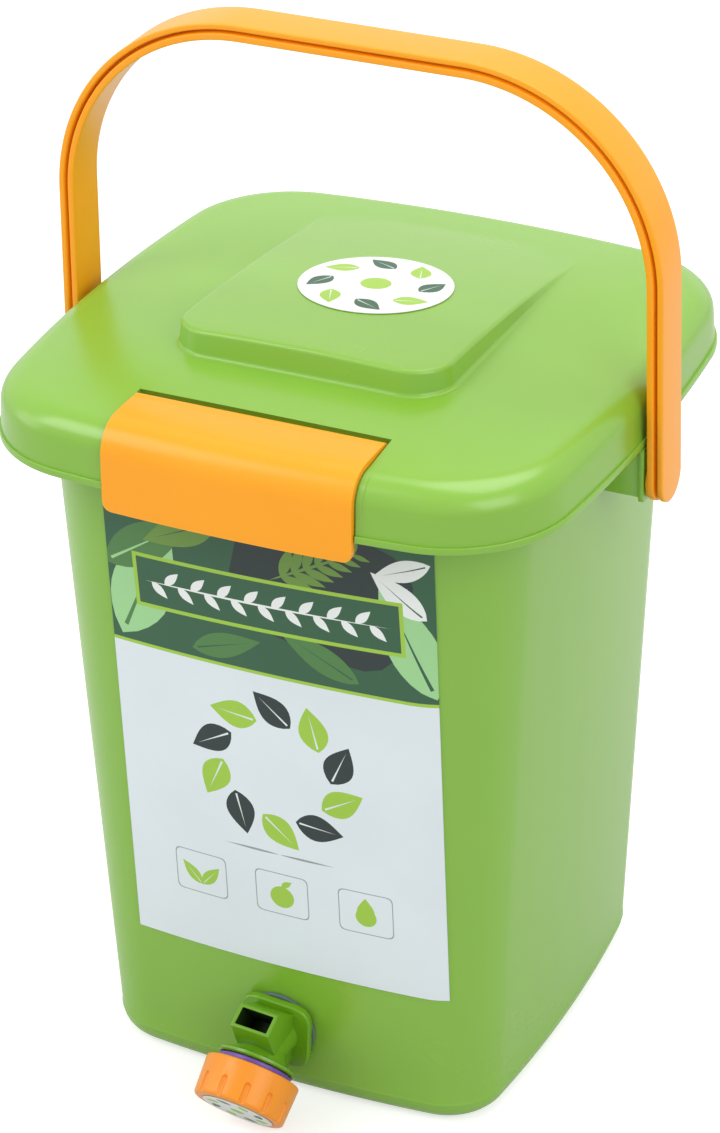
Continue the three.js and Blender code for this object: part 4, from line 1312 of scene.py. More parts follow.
@dataclass
class Latch:
    """The flap that wraps the lid's front shoulder, its pocket and its pin."""

    half: float = 55.5 * MM
    proud: float = 2.4 * MM
    hinge_proud: float = 0.8 * MM
    thick: float = 3 * MM
    drop: float = 8.5 * MM
    pivot_y: float = 98.5 * MM
    roll_r: float = 3.9 * MM
    roll_gap: float = 2.6 * MM
    corner: float = 4 * MM
    corner_shares: tuple[float, ...] = (0.2, 0.4, 0.6, 0.75, 0.87, 0.95, 1)
    side_gap: float = 0.8 * MM
    floor: float = 2.2 * MM
    ridge_sink: float = 0.6 * MM
    margin: float = 3.5 * MM
    pin_r: float = 1.3 * MM
    pin_seat: float = 3 * MM
    pin_edge: float = 0.3 * MM
    hook_half: float = 40 * MM
    hook_height: float = 4 * MM
    edge: float = 0.8 * MM
    roll_steps: int = 27
    across_steps: int = 24

    @property
    def pivot_z(self) -> float:
        """Height of the flap's hinge line."""
        return SIZES.crown_at(self.pivot_y) + self.hinge_proud - self.roll_r

    @property
    def pocket_out(self) -> float:
        """How far the pocket's floor stands out from the lid's surface."""
        return self.proud - self.thick - SIZES.fit

    @property
    def groove_r(self) -> float:
        """Radius of the groove round the flap's roll."""
        return self.roll_r + self.roll_gap

    def _band(self, half: float, inner: float, outer: float, start: float, reach: float) -> Skin:
        """A band over the lid's front.

        Args:
            half: Half width.
            inner: Distance of its underside out from the lid's surface.
            outer: Distance of its outside.
            start: Height at which it starts.
            reach: Distance from the centre at which it ends.

        Returns:
            The closed band.
        """
        sunk, steps = self.proud - self.hinge_proud, 14
        section = SIZES.lid_section(outer, start, reach, outer - sunk)
        section += SIZES.lid_section(inner, start, reach, inner - sunk)[::-1]
        return loft([np.array([(x, SIZES.front_fall(x) - distance, z) for distance, z in section])
                     for x in np.linspace(-half, half, steps + 1)])

    def _round(self, radius: float, half: float) -> Skin:
        """A plain round bar on the hinge line."""
        section = arc((-self.pivot_y, self.pivot_z), radius, 0, TURN, 64)[:-1]
        return prism(section, along_x, -half, half)

    def backing(self) -> Skin:
        """The lid's extra wall behind the flap."""
        return self._band(self.half + self.margin, self.pocket_out - self.floor,
                          self.pocket_out + self.floor / 3, SIZES.lip_z,
                          self.pivot_y - self.groove_r - self.floor)

    def ridge(self) -> Skin:
        """The lid's extra wall under the flap's roll, pressed down under the lid's outside.

        Returns:
            The wall.
        """
        skin = self._round(self.groove_r + self.floor, self.half + self.margin)
        points = [(x, y, min(z, SIZES.crown_at(-y) - self.ridge_sink)) for x, y, z in skin.points]
        return Skin(points, skin.faces)

    def pocket(self) -> Skin:
        """The room for the flap."""
        return self._band(self.half + self.side_gap, self.pocket_out, 4 * self.proud,
                          SIZES.lip_z - self.drop, self.pivot_y)

    def groove(self) -> Skin:
        """The room for the flap's roll."""
        return self._round(self.groove_r, self.half + self.side_gap)

    def flap(self) -> Skin:
        """The flap with its roll.

        Returns:
            One closed surface.
        """
        s = SIZES
        rise = self.roll_r - self.thick
        roll = arc((-self.pivot_y, self.pivot_z), self.roll_r, QUARTER,
                   -math.pi - math.asin(rise / self.roll_r), self.roll_steps)
        inner = self.half - self.corner
        ends = [inner + self.corner * share for share in self.corner_shares]
        across = [-x for x in reversed(ends)]
        across += [*np.linspace(-inner, inner, self.across_steps + 1), *ends]
        rings = []
        for x in across:
            past = max(abs(x) - inner, 0)
            start = s.lip_z - self.drop + self.corner - math.sqrt(max(self.corner**2 - past**2, 0))
            outer = s.lid_section(self.proud, start, self.pivot_y + self.roll_r / 2, self.hinge_proud)
            under = s.lid_section(self.proud - self.thick, start,
                                  self.pivot_y + math.sqrt(self.roll_r**2 - rise**2),
                                  self.hinge_proud - self.thick)[::-1]
            fall = s.front_fall(x)
            ring = [(x, fall - distance, z) for distance, z in outer]
            ring += [(x, y, z) for y, z in roll]
            ring += [(x, fall - distance, z) for distance, z in under]
            rings.append(np.array(ring))
        return loft(rings)

    def hook(self) -> Skin:
        """The bead inside the flap that snaps under the bucket's rim.

        Returns:
            The bead.
        """
        s = SIZES
        face = s.front_fall(self.hook_half) - (s.skirt_half + self.proud - self.thick / 2)
        tip = -s.flange_half - 2 * s.fit
        low = s.lip_z - self.drop + self.thick / 2
        top = low + self.hook_height
        outline = [(face, low), (tip, low + self.hook_height / 2), (tip, top), (face, top)]
        return prism(rounded(outline, self.edge, 3), along_x, -self.hook_half, self.hook_half)

    def make(self, shop: Workshop) -> None:
        """Build and dress the flap and its pin.

        Args:
            shop: Dresses the pieces.
        """
        flap = new_object("latch", self.flap())
        soften(flap, self.edge, 4, 50)
        join_into(flap, new_object("latch_hook", self.hook()))
        shop.dress(flap, Slot.ORANGE, "latch", "latch_flap")
        half = self.half + self.side_gap + self.pin_seat
        ends = [Vector((x, -self.pivot_y, self.pivot_z)) for x in (-half, half)]
        pin = bar(*ends, pin_profile(self.pin_r, 2 * half, self.pin_edge), 32)
        shop.dress(new_object("latch_pin_bar", pin), Slot.STEEL, "lid", "latch_pin")


@dataclass
class HingePins:
    """The two pins of the rear hinge."""

    half: float = 10.3 * MM
    radius: float = 1.6 * MM
    edge: float = 0.4 * MM

    def make(self, shop: Workshop) -> None:
        """Build and dress both pins.

        Args:
            shop: Dresses the pieces.
        """
        for side, word in ((-1, "left"), (1, "right")):
            x = side * SIZES.hinge_x
            ends = [Vector((x + turn * self.half, SIZES.hinge_y, SIZES.hinge_z)) for turn in (-1, 1)]
            skin = bar(*ends, pin_profile(self.radius, 2 * self.half, self.edge), 32)
            pin = new_object(f"hinge_pin_{word}_bar", skin)
            shop.dress(pin, Slot.STEEL, "bin", f"lid_hinge_pin_{word}")


# The carrying bail


@dataclass
class Bail:
    """The carrying bail with its grooved section, round ends and pegs."""

    outer: float = 139.3 * MM
    thick: float = 7.2 * MM
    width: float = 21.5 * MM
    rise: float = 172.5 * MM
    corner: float = 88 * MM
    lean_deg: float = 1.2
    outer_wall: float = 2.5 * MM
    inner_wall: float = 3 * MM
    groove_depth: float = 5.5 * MM
    edge: float = 0.9 * MM
    boss_r: float = 10.5 * MM
    boss_proud: float = 0.9 * MM
    peg_r: float = 4 * MM
    head_r: float = 5.1 * MM
    head_length: float = 2.8 * MM
    leg_steps: int = 9
    corner_steps: int = 47
    top_steps: int = 5
    end_steps: int = 32

    def half_section(self) -> Outline:
        """Half of the section.

        Returns:
            Points of (distance in from the outer face, distance from the middle).
        """
        half, end = self.width / 2, self.thick - self.inner_wall
        groove = ((self.outer_wall + end) / 2, half - self.groove_depth)
        outline = [(0, -half), (0, half), (self.outer_wall, half), groove, (end, half),
                   (self.thick, half), (self.thick, -half)]
        upper = [(max(u, 0), v) for u, v in rounded(outline, self.edge, 5) if v > 0]
        return [(0, 0), *upper, (self.thick, 0)]

    def path(self) -> Outline:
        """The outer face's line, from one pivot over the top to the other.

        Returns:
            Points of (x, z).
        """
        lean = math.radians(self.lean_deg)
        centre_z = SIZES.pivot_z + self.rise - self.corner
        leg = centre_z - SIZES.pivot_z
        centre_x = self.outer - leg * math.tan(lean) - self.corner / math.cos(lean)
        leg += self.corner * math.sin(lean)
        side = [(self.outer - leg * share * math.tan(lean), SIZES.pivot_z + leg * share)
                for share in (0, *shares(self.leg_steps)[:-1])]
        side += arc((centre_x, centre_z), self.corner, lean, QUARTER, self.corner_steps)
        top_x, top_z = side[-1]
        side += [(top_x * (1 - share), top_z) for share in shares(self.top_steps)[:-1]]
        return [*side, (0, top_z), *((-x, z) for x, z in reversed(side))]

    def arch(self, material: Material) -> Object:
        """The swept arch, open at both pivots.

        Args:
            material: Its material.

        Returns:
            The arch.
        """
        arch = new_line("bail", [(x, 0, z) for x, z in self.path()])
        half = self.half_section()
        section = half + [(u, -v) for u, v in reversed(half[1:-1])]
        outline = new_line("bail_outline", [(v, u, 0) for u, v in section], closed=True)
        SweptOutline("bail_sweep").remake(arch, material, Outline=outline)
        bpy.data.objects.remove(outline)
        return arch

    def end(self, side: int) -> Skin:
        """One round end: the half section turned half way round the pivot.

        Args:
            side: -1 for left, 1 for right.

        Returns:
            The end's surface, which meets the arch.
        """
        lean, half, skin = math.radians(self.lean_deg), self.half_section(), Skin()
        count = len(half)
        for a in np.linspace(0, math.pi, self.end_steps + 1):
            skin.points += [
                (float(side * (self.outer - u * math.cos(lean))), float(v * math.cos(a)),
                 float(SIZES.pivot_z - v * math.sin(a) - u * math.sin(lean) * math.cos(a) ** 2))
                for u, v in half]
        for i in range(self.end_steps):
            for j in range(i * count, (i + 1) * count - 1):
                skin.faces.append((j, j + 1, j + count + 1, j + count))
        return skin

    def peg(self, side: int) -> Skin:
        """The boss and the headed peg that snaps into the bracket.

        Args:
            side: -1 for left, 1 for right.

        Returns:
            The turned peg.
        """
        fit, edge, length = SIZES.fit, self.edge, self.head_length
        inner = self.outer - self.thick
        boss = inner - self.boss_proud
        head_end = boss - 3 * fit - SIZES.bracket_plate - length
        start, top = boss - head_end, inner - head_end + edge
        profile = [(0, 0), (self.peg_r - edge, 0), (self.head_r, length - edge), (self.head_r, length),
                   (self.peg_r, length), (self.peg_r, start), (self.boss_r - edge, start),
                   (self.boss_r - edge / 3, start + edge / 3), (self.boss_r, start + edge),
                   (self.boss_r, top), (0, top)]
        foot = Vector((side * head_end, 0, SIZES.pivot_z))
        return bar(foot, foot + Vector((side, 0, 0)), profile, 64)

    def make(self, shop: Workshop) -> None:
        """Build and dress the bail.

        Args:
            shop: Dresses the piece.
        """
        bail = self.arch(shop.material(Slot.ORANGE))
        join_into(bail, new_object("bail_ends", self.end(-1).add(self.end(1))))
        heal(bail.data)
        join_into(bail, new_object("bail_pegs", self.peg(-1).add(self.peg(1))))
        shop.dress(bail, Slot.ORANGE, "handle", "bail_handle", 50)


# The tap


@dataclass
class Tap:
    """The drain tap, from its inner nut to the knob."""

    height: float = 36 * MM
    turn_deg: float = 4.5
    tilt_deg: float = 36
    reach: float = 16.8 * MM
    shank_r: float = 9.4 * MM
    shank_length: float = 19 * MM
    inlet_r: float = 5.6 * MM
    thread_pitch: float = 2 * MM
    thread_depth: float = 0.5 * MM
    thread_shares: Pair = (0.35, 0.6)
    neck_r: float = 10.6 * MM
    neck_flare: float = 1.4 * MM
    washer_r: float = 17.2 * MM
    washer_thick: float = 1.7 * MM
    flange_half: float = 16.5 * MM
    flange_corner: float = 8.45 * MM
    flange_thick: float = 3.8 * MM
    flange_edge: float = 0.9 * MM
    nut_r: float = 15.5 * MM
    nut_thick: float = 7 * MM
    nut_lobe: float = 3.2 * MM
    nut_lobes: int = 6
    nut_swing: float = 0.9
    nut_edge: float = 0.8 * MM
    spout_width: float = 18.2 * MM
    spout_wall: float = 1.7 * MM
    spout_depth: float = 8 * MM
    spout_edge: float = 0.4 * MM
    spout_centre_share: float = -0.315
    channel_spare: float = 0.05 * MM
    housing_shares: tuple[Pair, ...] = (
        (-0.28, 1.47), (-0.88, 1.2), (-0.38, 0.05), (-0.08, -0.65), (0.64, -0.74), (0.64, 0.8))
    barrel_r: float = 13 * MM
    barrel_front: float = 16.5 * MM
    barrel_edge: float = 0.6 * MM
    bore_r: float = 8 * MM
    bore_end: float = 9.5 * MM
    collar_r: float = 17.8 * MM
    collar_thick: float = 2.4 * MM
    collar_front: float = 8.8 * MM
    ring_r: float = 16.6 * MM
    ring_thick: float = 2.2 * MM
    ring_edge: float = 0.5 * MM
    knob_start: float = 11.8 * MM
    knob_length: float = 18.3 * MM
    knob_r: float = 21.4 * MM
    knob_face_r: float = 20.8 * MM
    knob_edge: float = 1.8 * MM
    knob_wall: float = 2.6 * MM
    knob_soft: float = 0.25 * MM
    socket_gap: float = 4 * MM
    slot_count: int = 12
    slot_width: float = 3 * MM
    slot_length: float = 8 * MM
    slot_depth: float = 1 * MM
    slot_turn_deg: float = 10.5
    sticker_r: float = 16.2 * MM
    plunger_r: float = 7.7 * MM
    stem_r: float = 4.5 * MM
    oring_r: float = 1.3 * MM
    travel: float = 5 * MM
    fine_steps: int = 240

    @property
    def matrix(self) -> Matrix:
        """The tap's own frame: origin on the wall's outside, Y along the shank towards the inside.

        Returns:
            The frame.
        """
        s = SIZES
        draft = math.atan((s.mouth.half - s.base.half) / s.rim_z)
        place = Matrix.Translation((0, -s.wall_shape(self.height).half, self.height))
        turn = Matrix.Rotation(math.radians(self.turn_deg), 4, "Y")
        return place @ turn @ Matrix.Rotation(draft, 4, "X")

    @property
    def valve(self) -> Matrix:
        """The valve's frame: Z along the knob's axis, Y up the spout."""
        turn = Matrix.Rotation(QUARTER + math.radians(self.tilt_deg), 4, "X")
        return self.matrix @ Matrix.Translation((0, -self.reach, 0)) @ turn

    @property
    def flange_back(self) -> float:
        """Where the flange's back lies along the shank."""
        return -(2 * SIZES.fit + self.washer_thick)

    @property
    def knob_end(self) -> float:
        """Where the knob's face lies along the valve."""
        return self.knob_start + self.knob_length

    @property
    def seal_place(self) -> float:
        """Where the piston's seal ring lies along the valve."""
        return self.barrel_front - self.travel - 2 * self.oring_r

    @property
    def spout_place(self) -> float:
        """Where the spout's channel lies along the valve."""
        return self.spout_centre_share * self.reach

    def along(self, start: float) -> Matrix:
        """A frame whose Z runs along the shank towards the inside, from a distance."""
        return self.matrix @ Matrix.Translation((0, start, 0)) @ Matrix.Rotation(-QUARTER, 4, "X")

    def _channel(self, spare: float = 0) -> Object:
        """A cutter for the spout's square channel, which reaches the barrel's axis.

        Args:
            spare: How much wider it is than the channel.

        Returns:
            The cutter.
        """
        half = self.spout_width / 2 - self.spout_wall + spare
        deep = self.spout_depth / 2 + spare
        section = rectangle(-half, self.spout_place - deep, half, self.spout_place + deep)
        return new_object("channel", prism(section, along_y, 0, 2 * self.reach).moved(self.valve))

    def housing(self) -> Object:
        """The moulded housing: spout, barrel, collar, neck, flange and shank.

        Returns:
            The housing.
        """
        half, back, side = self.spout_width / 2, self.flange_back, self.flange_half
        outline = [((y - 1) * self.reach, z * self.reach) for y, z in self.housing_shares]
        block = new_object("housing_block", prism(outline, along_x, -half, half).moved(self.matrix))
        boolean(block, self._channel())
        soften(block, self.spout_edge)
        square = rounded(rectangle(-side, -side, side, side), self.flange_corner, 10)
        flange = prism(square, along_y, back - self.flange_thick, back)
        plate = new_object("housing_plate", flange.moved(self.matrix))
        soften(plate, self.flange_edge)
        root = back - self.flange_thick / 2
        length = self.shank_length - root
        shank = turned([(self.inlet_r, 0), (self.shank_r, 0), *self._thread(length),
                        (self.inlet_r, length)])
        stem = new_object("housing_shank", shank.moved(self.along(root)))
        neck_end, flare = self.reach + root, self.neck_flare
        neck = turned([(0, -self.neck_r), *arc((0, 0), self.neck_r, -QUARTER, 0, 16)[1:],
                       (self.neck_r, neck_end - 2 * flare), (self.neck_r + flare / 3, neck_end - flare),
                       (self.neck_r + flare, neck_end), (0, neck_end)])
        throat = new_object("housing_neck", neck.moved(self.along(-self.reach)))
        boolean(throat, self._channel(self.channel_spare))
        barrel = new_object("housing_barrel", turned(self._barrel_profile()).moved(self.valve))
        boolean(barrel, self._channel(self.channel_spare))
        join_into(block, plate, stem, throat, barrel)
        return block

    def paint_spout_shade(self, housing: Object, material: Material) -> None:
        """Give the faces inside the spout a painted shade: the dark finish that stands in for the shade
        deep in the channel.

        Args:
            housing: The dressed housing.
            material: The painted shade finish.
        """
        housing.data.materials.append(material)
        inverse = self.valve.inverted()
        half = self.spout_width / 2 - self.spout_wall + SIZES.fit
        deep = self.spout_depth / 2 + SIZES.fit
        for face in housing.data.polygons:
            place, facing = inverse @ face.center, inverse.to_3x3() @ face.normal
            inside = abs(place.x) < half and abs(place.z - self.spout_place) < deep
            if inside and facing.y < 0.5 and place.y > 0:
                face.material_index = 1

    def _thread(self, length: float) -> Outline:
        """Crests and roots of the shank's thread, from the wall to its end.

        Args:
            length: Length of the shank.

        Returns:
            Points of (radius, height).
        """
        pitch, crest, root = self.thread_pitch, self.shank_r, self.shank_r - self.thread_depth
        crest_share, root_share = self.thread_shares
        points: Outline = []
        for i in range(int((length - self.flange_thick) / pitch)):
            z = self.flange_thick + i * pitch
            points += [(crest, z), (crest, z + pitch * crest_share), (root, z + pitch * root_share)]
        return [*points, (root, length)]

    def _barrel_profile(self) -> Outline:
        """Half section of the barrel, which widens to its collar.

        Returns:
            Points of (radius, height).
        """
        low, high, edge = self.collar_front - self.collar_thick, self.collar_front, self.barrel_edge
        return [
            (self.bore_r, -self.bore_end), (self.bore_r + edge, -self.bore_end),
            (self.bore_r + edge, -edge), (self.neck_r - edge / 4, -edge / 4),
            (self.barrel_r, low - edge), (self.collar_r - edge, low),
            (self.collar_r, low + edge), (self.collar_r, high - edge), (self.collar_r - edge, high),
            (self.barrel_r, high), (self.barrel_r, self.barrel_front - edge),
            (self.barrel_r - edge, self.barrel_front), (self.bore_r, self.barrel_front),
        ]

    def knob(self, shop: Workshop) -> Object:
        """The knob's cap with grip slots, hollow behind, with a socket for the stem.

        Args:
            shop: Gives the slot cutters' material.

        Returns:
            The knob.
        """
        end, edge, dip = self.knob_end, self.knob_edge, SIZES.print_dip
        inside, hollow, foot = end - self.knob_wall, self.knob_r - self.knob_wall, edge / 2
        socket, socket_end = self.stem_r + SIZES.fit, self.barrel_front + self.socket_gap
        tube = socket + self.knob_wall / 2
        low = arc((self.knob_r - foot, self.knob_start + foot), foot, -QUARTER, 0, 6)
        high = arc((self.knob_face_r - edge, end - edge), edge, 0, QUARTER, 8)
        profile = [(0, inside), (socket, inside), (socket, socket_end), (tube, socket_end), (tube, inside),
                   (hollow, inside), (hollow, self.knob_start), *low, *high,
                   (self.sticker_r + 3 * dip, end), (self.sticker_r + 1.5 * dip, end - dip),
                   (0, end - dip)]
        cap = new_object("knob_cap", turned(profile, self.fine_steps).moved(self.valve))
        round_r = self.slot_width / 2
        bottom = end - edge - self.slot_length
        ball = [(0, bottom), *arc((0, bottom + round_r), round_r, -QUARTER, 0, 8)[1:]]
        cutter = new_object("grip_cutters", turned([*ball, (round_r, end + edge), (0, end + edge)], 32))
        RingOfCopies("grip_cutter_ring").remake(
            cutter, shop.material(Slot.ORANGE), Count=self.slot_count,
            Radius=self.knob_face_r + round_r - self.slot_depth, Start=math.radians(self.slot_turn_deg))
        cutter.data.transform(self.valve)
        boolean(cap, cutter)
        soften(cap, self.knob_soft, 2, 30)
        return cap

    def nut(self) -> Skin:
        """The back nut with finger lobes.

        Returns:
            A closed ring.
        """
        angles, edge, high = all_round(self.fine_steps), self.nut_edge, self.nut_thick
        hole = self.shank_r + SIZES.fit
        swing = smooth_step(0.5 + self.nut_swing * np.cos(self.nut_lobes * angles))
        lobes = self.nut_r + self.nut_lobe * swing
        outline = ((lobes - edge, 0), (lobes, edge), (lobes, high - edge), (lobes - edge, high),
                   (hole, high), (hole, 0))
        return loft([hoop(radius, z, angles) for radius, z in outline], closed=True)

    def washer(self) -> Skin:
        """A flat washer with soft edges."""
        section = rectangle(self.shank_r + SIZES.fit, 0, self.washer_r, self.washer_thick)
        return turned(rounded(section, SIZES.small_edge, 3))

    def plunger(self) -> Skin:
        """The valve's piston, with its seal groove and stem.

        Returns:
            The turned piston.
        """
        fit, seal_r = SIZES.fit, self.oring_r
        low, high = self.seal_place - seal_r - fit, self.seal_place + seal_r + fit
        groove_r = self.bore_r - 2 * seal_r - fit
        back, front = 2 * fit - self.bore_end, self.barrel_front - fit
        stem_end = self.knob_end - self.knob_wall - fit
        return turned([(0, back), (self.plunger_r, back), (self.plunger_r, low), (groove_r, low),
                       (groove_r, high), (self.plunger_r, high), (self.plunger_r, front),
                       (self.stem_r, front), (self.stem_r, stem_end), (0, stem_end)], 64)

    def oring(self) -> Skin:
        """The piston's seal ring."""
        middle = self.bore_r - SIZES.fit - self.oring_r
        return turned(arc((middle, self.seal_place), self.oring_r, 0, TURN, 16)[:-1], 64)

    def ring(self) -> Skin:
        """The coloured ring between collar and knob."""
        low = self.collar_front + SIZES.fit
        section = rectangle(self.barrel_r + SIZES.fit, low, self.ring_r, low + self.ring_thick)
        return turned(rounded(section, self.ring_edge))

    def make(self, shop: Workshop) -> None:
        """Build and dress every piece of the tap.

        Args:
            shop: Dresses the pieces.
        """
        outer = self.along(-SIZES.fit - self.washer_thick)
        inner_start = SIZES.wall + 2 * SIZES.fit
        nut_start = inner_start + self.washer_thick + SIZES.fit
        piston = new_object("valve_piston", self.plunger().moved(self.valve))
        housing = self.housing()
        cap = self.knob(shop)
        shop.dress(housing, Slot.TAP, "bin", "tap_body")
        shop.dress(piston, Slot.TAP, "plunger", "tap_plunger")
        shop.dress(cap, Slot.ORANGE, "knob", "tap_knob")
        turned_parts = (
            ("outer_washer", self.washer(), outer, Slot.GREY_RUBBER, "bin", "tap_outer_washer"),
            ("inner_washer", self.washer(), self.along(inner_start), Slot.BLACK_RUBBER, "bin",
             "tap_inner_washer"),
            ("back_nut", self.nut(), self.along(nut_start), Slot.TAP, "bin", "tap_back_nut"),
            ("valve_seal", self.oring(), self.valve, Slot.BLACK_RUBBER, "plunger", "tap_plunger_oring"),
            ("knob_ring", self.ring(), self.valve, Slot.PURPLE, "bin", "tap_ring"),
        )
        for name, skin, place, slot, body, node in turned_parts:
            shop.dress(new_object(name, skin.moved(place)), slot, body, node)
        # Painted shade: the piston, seen down the spout's channel, and the faces inside the spout get the
        # dark green in place of the tap's green.
        piston.data.materials[0] = shop.material(Extra.VALVE)
        cap.data.materials[0] = shop.material(Extra.KNOB)
        self.paint_spout_shade(housing, shop.material(Extra.VALVE))


# The strainer tray


@dataclass
class Strainer:
    """The perforated false floor with its rim, legs and lifting grip."""

    height: float = 58 * MM
    thick: float = 2 * MM
    gap: float = 1.6 * MM
    rim: float = 9 * MM
    rim_edge: float = 0.6 * MM
    flat_inset: float = 20 * MM
    leg_r: float = 5 * MM
    leg_reach: float = 62 * MM
    leg_edge: float = 1 * MM
    floor: float = 3.1 * MM
    hole_r: float = 2.6 * MM
    pitch: float = 21 * MM
    holes_across: int = 7
    plain_r: float = 65 * MM
    grip_r: float = 7 * MM
    grip_height: float = 16 * MM

    def dish(self) -> Skin:
        """The plate and its rim.

        Returns:
            One closed surface.
        """
        s = SIZES
        top, rim_top, steps = self.height + self.thick, self.height + self.rim, 3
        inset = -s.wall - self.gap
        section = rounded([(0, self.height), (0, rim_top), (-self.thick, rim_top), (-self.thick, top)],
                          self.rim_edge, steps)[:-steps - 1]
        rings = [s.wall_shape(self.height, inset - self.flat_inset).ring(self.height)]
        rings += [s.wall_shape(z, inset + out).ring(z) for out, z in section]
        rings += [s.wall_shape(top, inset - out).ring(top) for out in (self.thick, self.flat_inset)]
        return loft(rings)

    def grip(self) -> Skin:
        """The waisted grip in the middle.

        Returns:
            The turned grip.
        """
        wide, waist, t = self.grip_r, self.grip_r - self.thick, self.thick
        low, top = self.height + t / 2, self.height + self.grip_height
        return turned([(0, low), (wide, low), (wide, low + 2 * t), (waist, low + 3 * t),
                       (waist, top - 2.5 * t), (wide, top - 1.8 * t), (wide, top - 0.4 * t),
                       (wide - 0.4 * t, top), (0, top)], 48)

    def make(self, shop: Workshop) -> None:
        """Build and dress the tray.

        Args:
            shop: Dresses the piece.
        """
        green = shop.material(Slot.GREEN)
        tray = new_object("strainer", self.dish())
        low, high = self.height - self.thick, self.height + 3 * self.thick
        hole = [(0, low), (self.hole_r, low), (self.hole_r, high), (0, high)]
        punch = new_object("strainer_punches", turned(hole, 20))
        span = (self.holes_across - 1) * self.pitch
        GridOfCopies("strainer_holes").remake(
            punch, green, Count_X=self.holes_across, Count_Y=self.holes_across, Size_X=span, Size_Y=span,
            Clear_Middle=self.plain_r, Corner_Place=self.leg_reach,
            Clear_Corner=self.leg_r + self.hole_r + self.thick)
        boolean(tray, punch)
        edge, head = self.leg_edge, self.height + self.thick / 2
        leg = [(0, self.floor), (self.leg_r - edge, self.floor), (self.leg_r, self.floor + edge),
               (self.leg_r, head), (0, head)]
        legs = new_object("strainer_legs", turned(leg, 32))
        GridOfCopies("strainer_leg_grid").remake(legs, green, Count_X=2, Count_Y=2,
                                                 Size_X=2 * self.leg_reach, Size_Y=2 * self.leg_reach)
        join_into(tray, legs, new_object("strainer_grip", self.grip()))
        shop.dress(tray, Slot.GREEN, "bin", "strainer_tray")


# Printed sheets


def subdivided(outline: Outline, longest: float) -> Outline:
    """Put extra points on the long edges of a closed outline.

    Args:
        outline: The outline.
        longest: Longest edge that is left.

    Returns:
        The outline with more points.
    """
    fine: Outline = []
    for here, ahead in zip(outline, [*outline[1:], outline[0]]):
        start, step = np.array(here), np.array(ahead) - np.array(here)
        count = max(math.ceil(math.hypot(*step) / longest), 1)
        fine += [tuple(map(float, start + step * i / count)) for i in range(count)]
    return fine


def put(point: Pair, centre: Pair, turn: float) -> Pair:
    """Turn a point by an angle in degrees and put it at a centre."""
    c, s = math.cos(math.radians(turn)), math.sin(math.radians(turn))
    return centre[0] + point[0] * c - point[1] * s, centre[1] + point[0] * s + point[1] * c


@dataclass
class Print:
    """A flat design, painted in layers, later ones on top."""

    layers: list[tuple[Outline, Ink]] = field(default_factory=list)

    def paint(self, outline: Outline, ink: Ink, centre: Pair, turn: float = 0) -> None:
        """Add a filled shape, drawn about (0, 0), at a centre and turned by degrees."""
        self.layers.append(([put(point, centre, turn) for point in outline], ink))

    def box(self, centre: Pair, size: Pair, ink: Ink, turn: float = 0, corner: float = 0) -> None:
        """Add a filled rectangle.

        Args:
            centre: Its middle.
            size: Its width and height.
            ink: Its ink.
            turn: Angle that it is turned by, in degrees.
            corner: Radius of its corners.
        """
        half_w, half_h = size[0] / 2, size[1] / 2
        corners = rectangle(-half_w, -half_h, half_w, half_h)
        self.paint(rounded(corners, corner) if corner else corners, ink, centre, turn)

    def disc(self, centre: Pair, radius: float, ink: Ink, steps: int = 40) -> None:
        """Add a filled circle."""
        self.paint(arc((0, 0), radius, 0, TURN, steps)[:-1], ink, centre)

    def leaf(self, base: Pair, length: float, width: float, turn: float, ink: Ink,
             vein: Ink | None = None) -> None:
        """Add a pointed leaf that grows from its base.

        Args:
            base: Where the leaf starts.
            length: Its length.
            width: Its greatest width.
            turn: Direction that it grows in, in degrees.
            ink: Its ink.
            vein: Ink of its middle vein, or none.
        """
        steps, belly_share, vein_share, vein_start, vein_end = 12, 0.8, 0.035, 0.08, 0.85
        upper = [(length * t, width / 2 * math.sin(math.pi * t**belly_share)) for t in shares(steps)[:-1]]
        outline = [(0, 0), *upper, (length, 0), *((x, -y) for x, y in reversed(upper))]
        self.paint(outline[::-1], ink, base, turn)
        if vein:
            start, thin = length * vein_start, width * vein_share
            self.paint([(start, -thin), (length * vein_end, 0), (start, thin)], vein, base, turn)

    def fern(self, base: Pair, length: float, turn: float, pairs: int, ink: Ink) -> None:
        """Add a stem with pairs of small leaves.

        Args:
            base: Where the stem starts.
            length: Its length.
            turn: Direction that it grows in, in degrees.
            pairs: Number of leaf pairs.
            ink: Its ink.
        """
        stem_share, leaf_share, slim_share, taper, tip, spread_deg = 0.03, 0.36, 0.3, 0.6, 0.6, 42
        self.leaf(base, length, length * stem_share, turn, ink)
        for i in range(pairs):
            at = put((length * (i + 1) / (pairs + tip), 0), base, turn)
            size = length * leaf_share * (1 - taper * i / pairs)
            for side in (-1, 1):
                self.leaf(at, size, size * slim_share, turn + side * spread_deg, ink)

    def wreath(self, centre: Pair, radius: float, count: int, length: float, width: float,
               inks: Sequence[Ink]) -> None:
        """Add a ring of leaves that lean out from the ring's line.

        Args:
            centre: Its middle.
            radius: Distance of the leaves' bases from the middle.
            count: Number of leaves.
            length: Length of a leaf.
            width: Width of a leaf.
            inks: Inks, taken in turn.
        """
        lean_deg = 24
        for i in range(count):
            around = 360 * i / count
            base = put((radius, 0), centre, around)
            self.leaf(base, length, width, around + 90 - lean_deg, inks[i % len(inks)], Ink.WHITE)


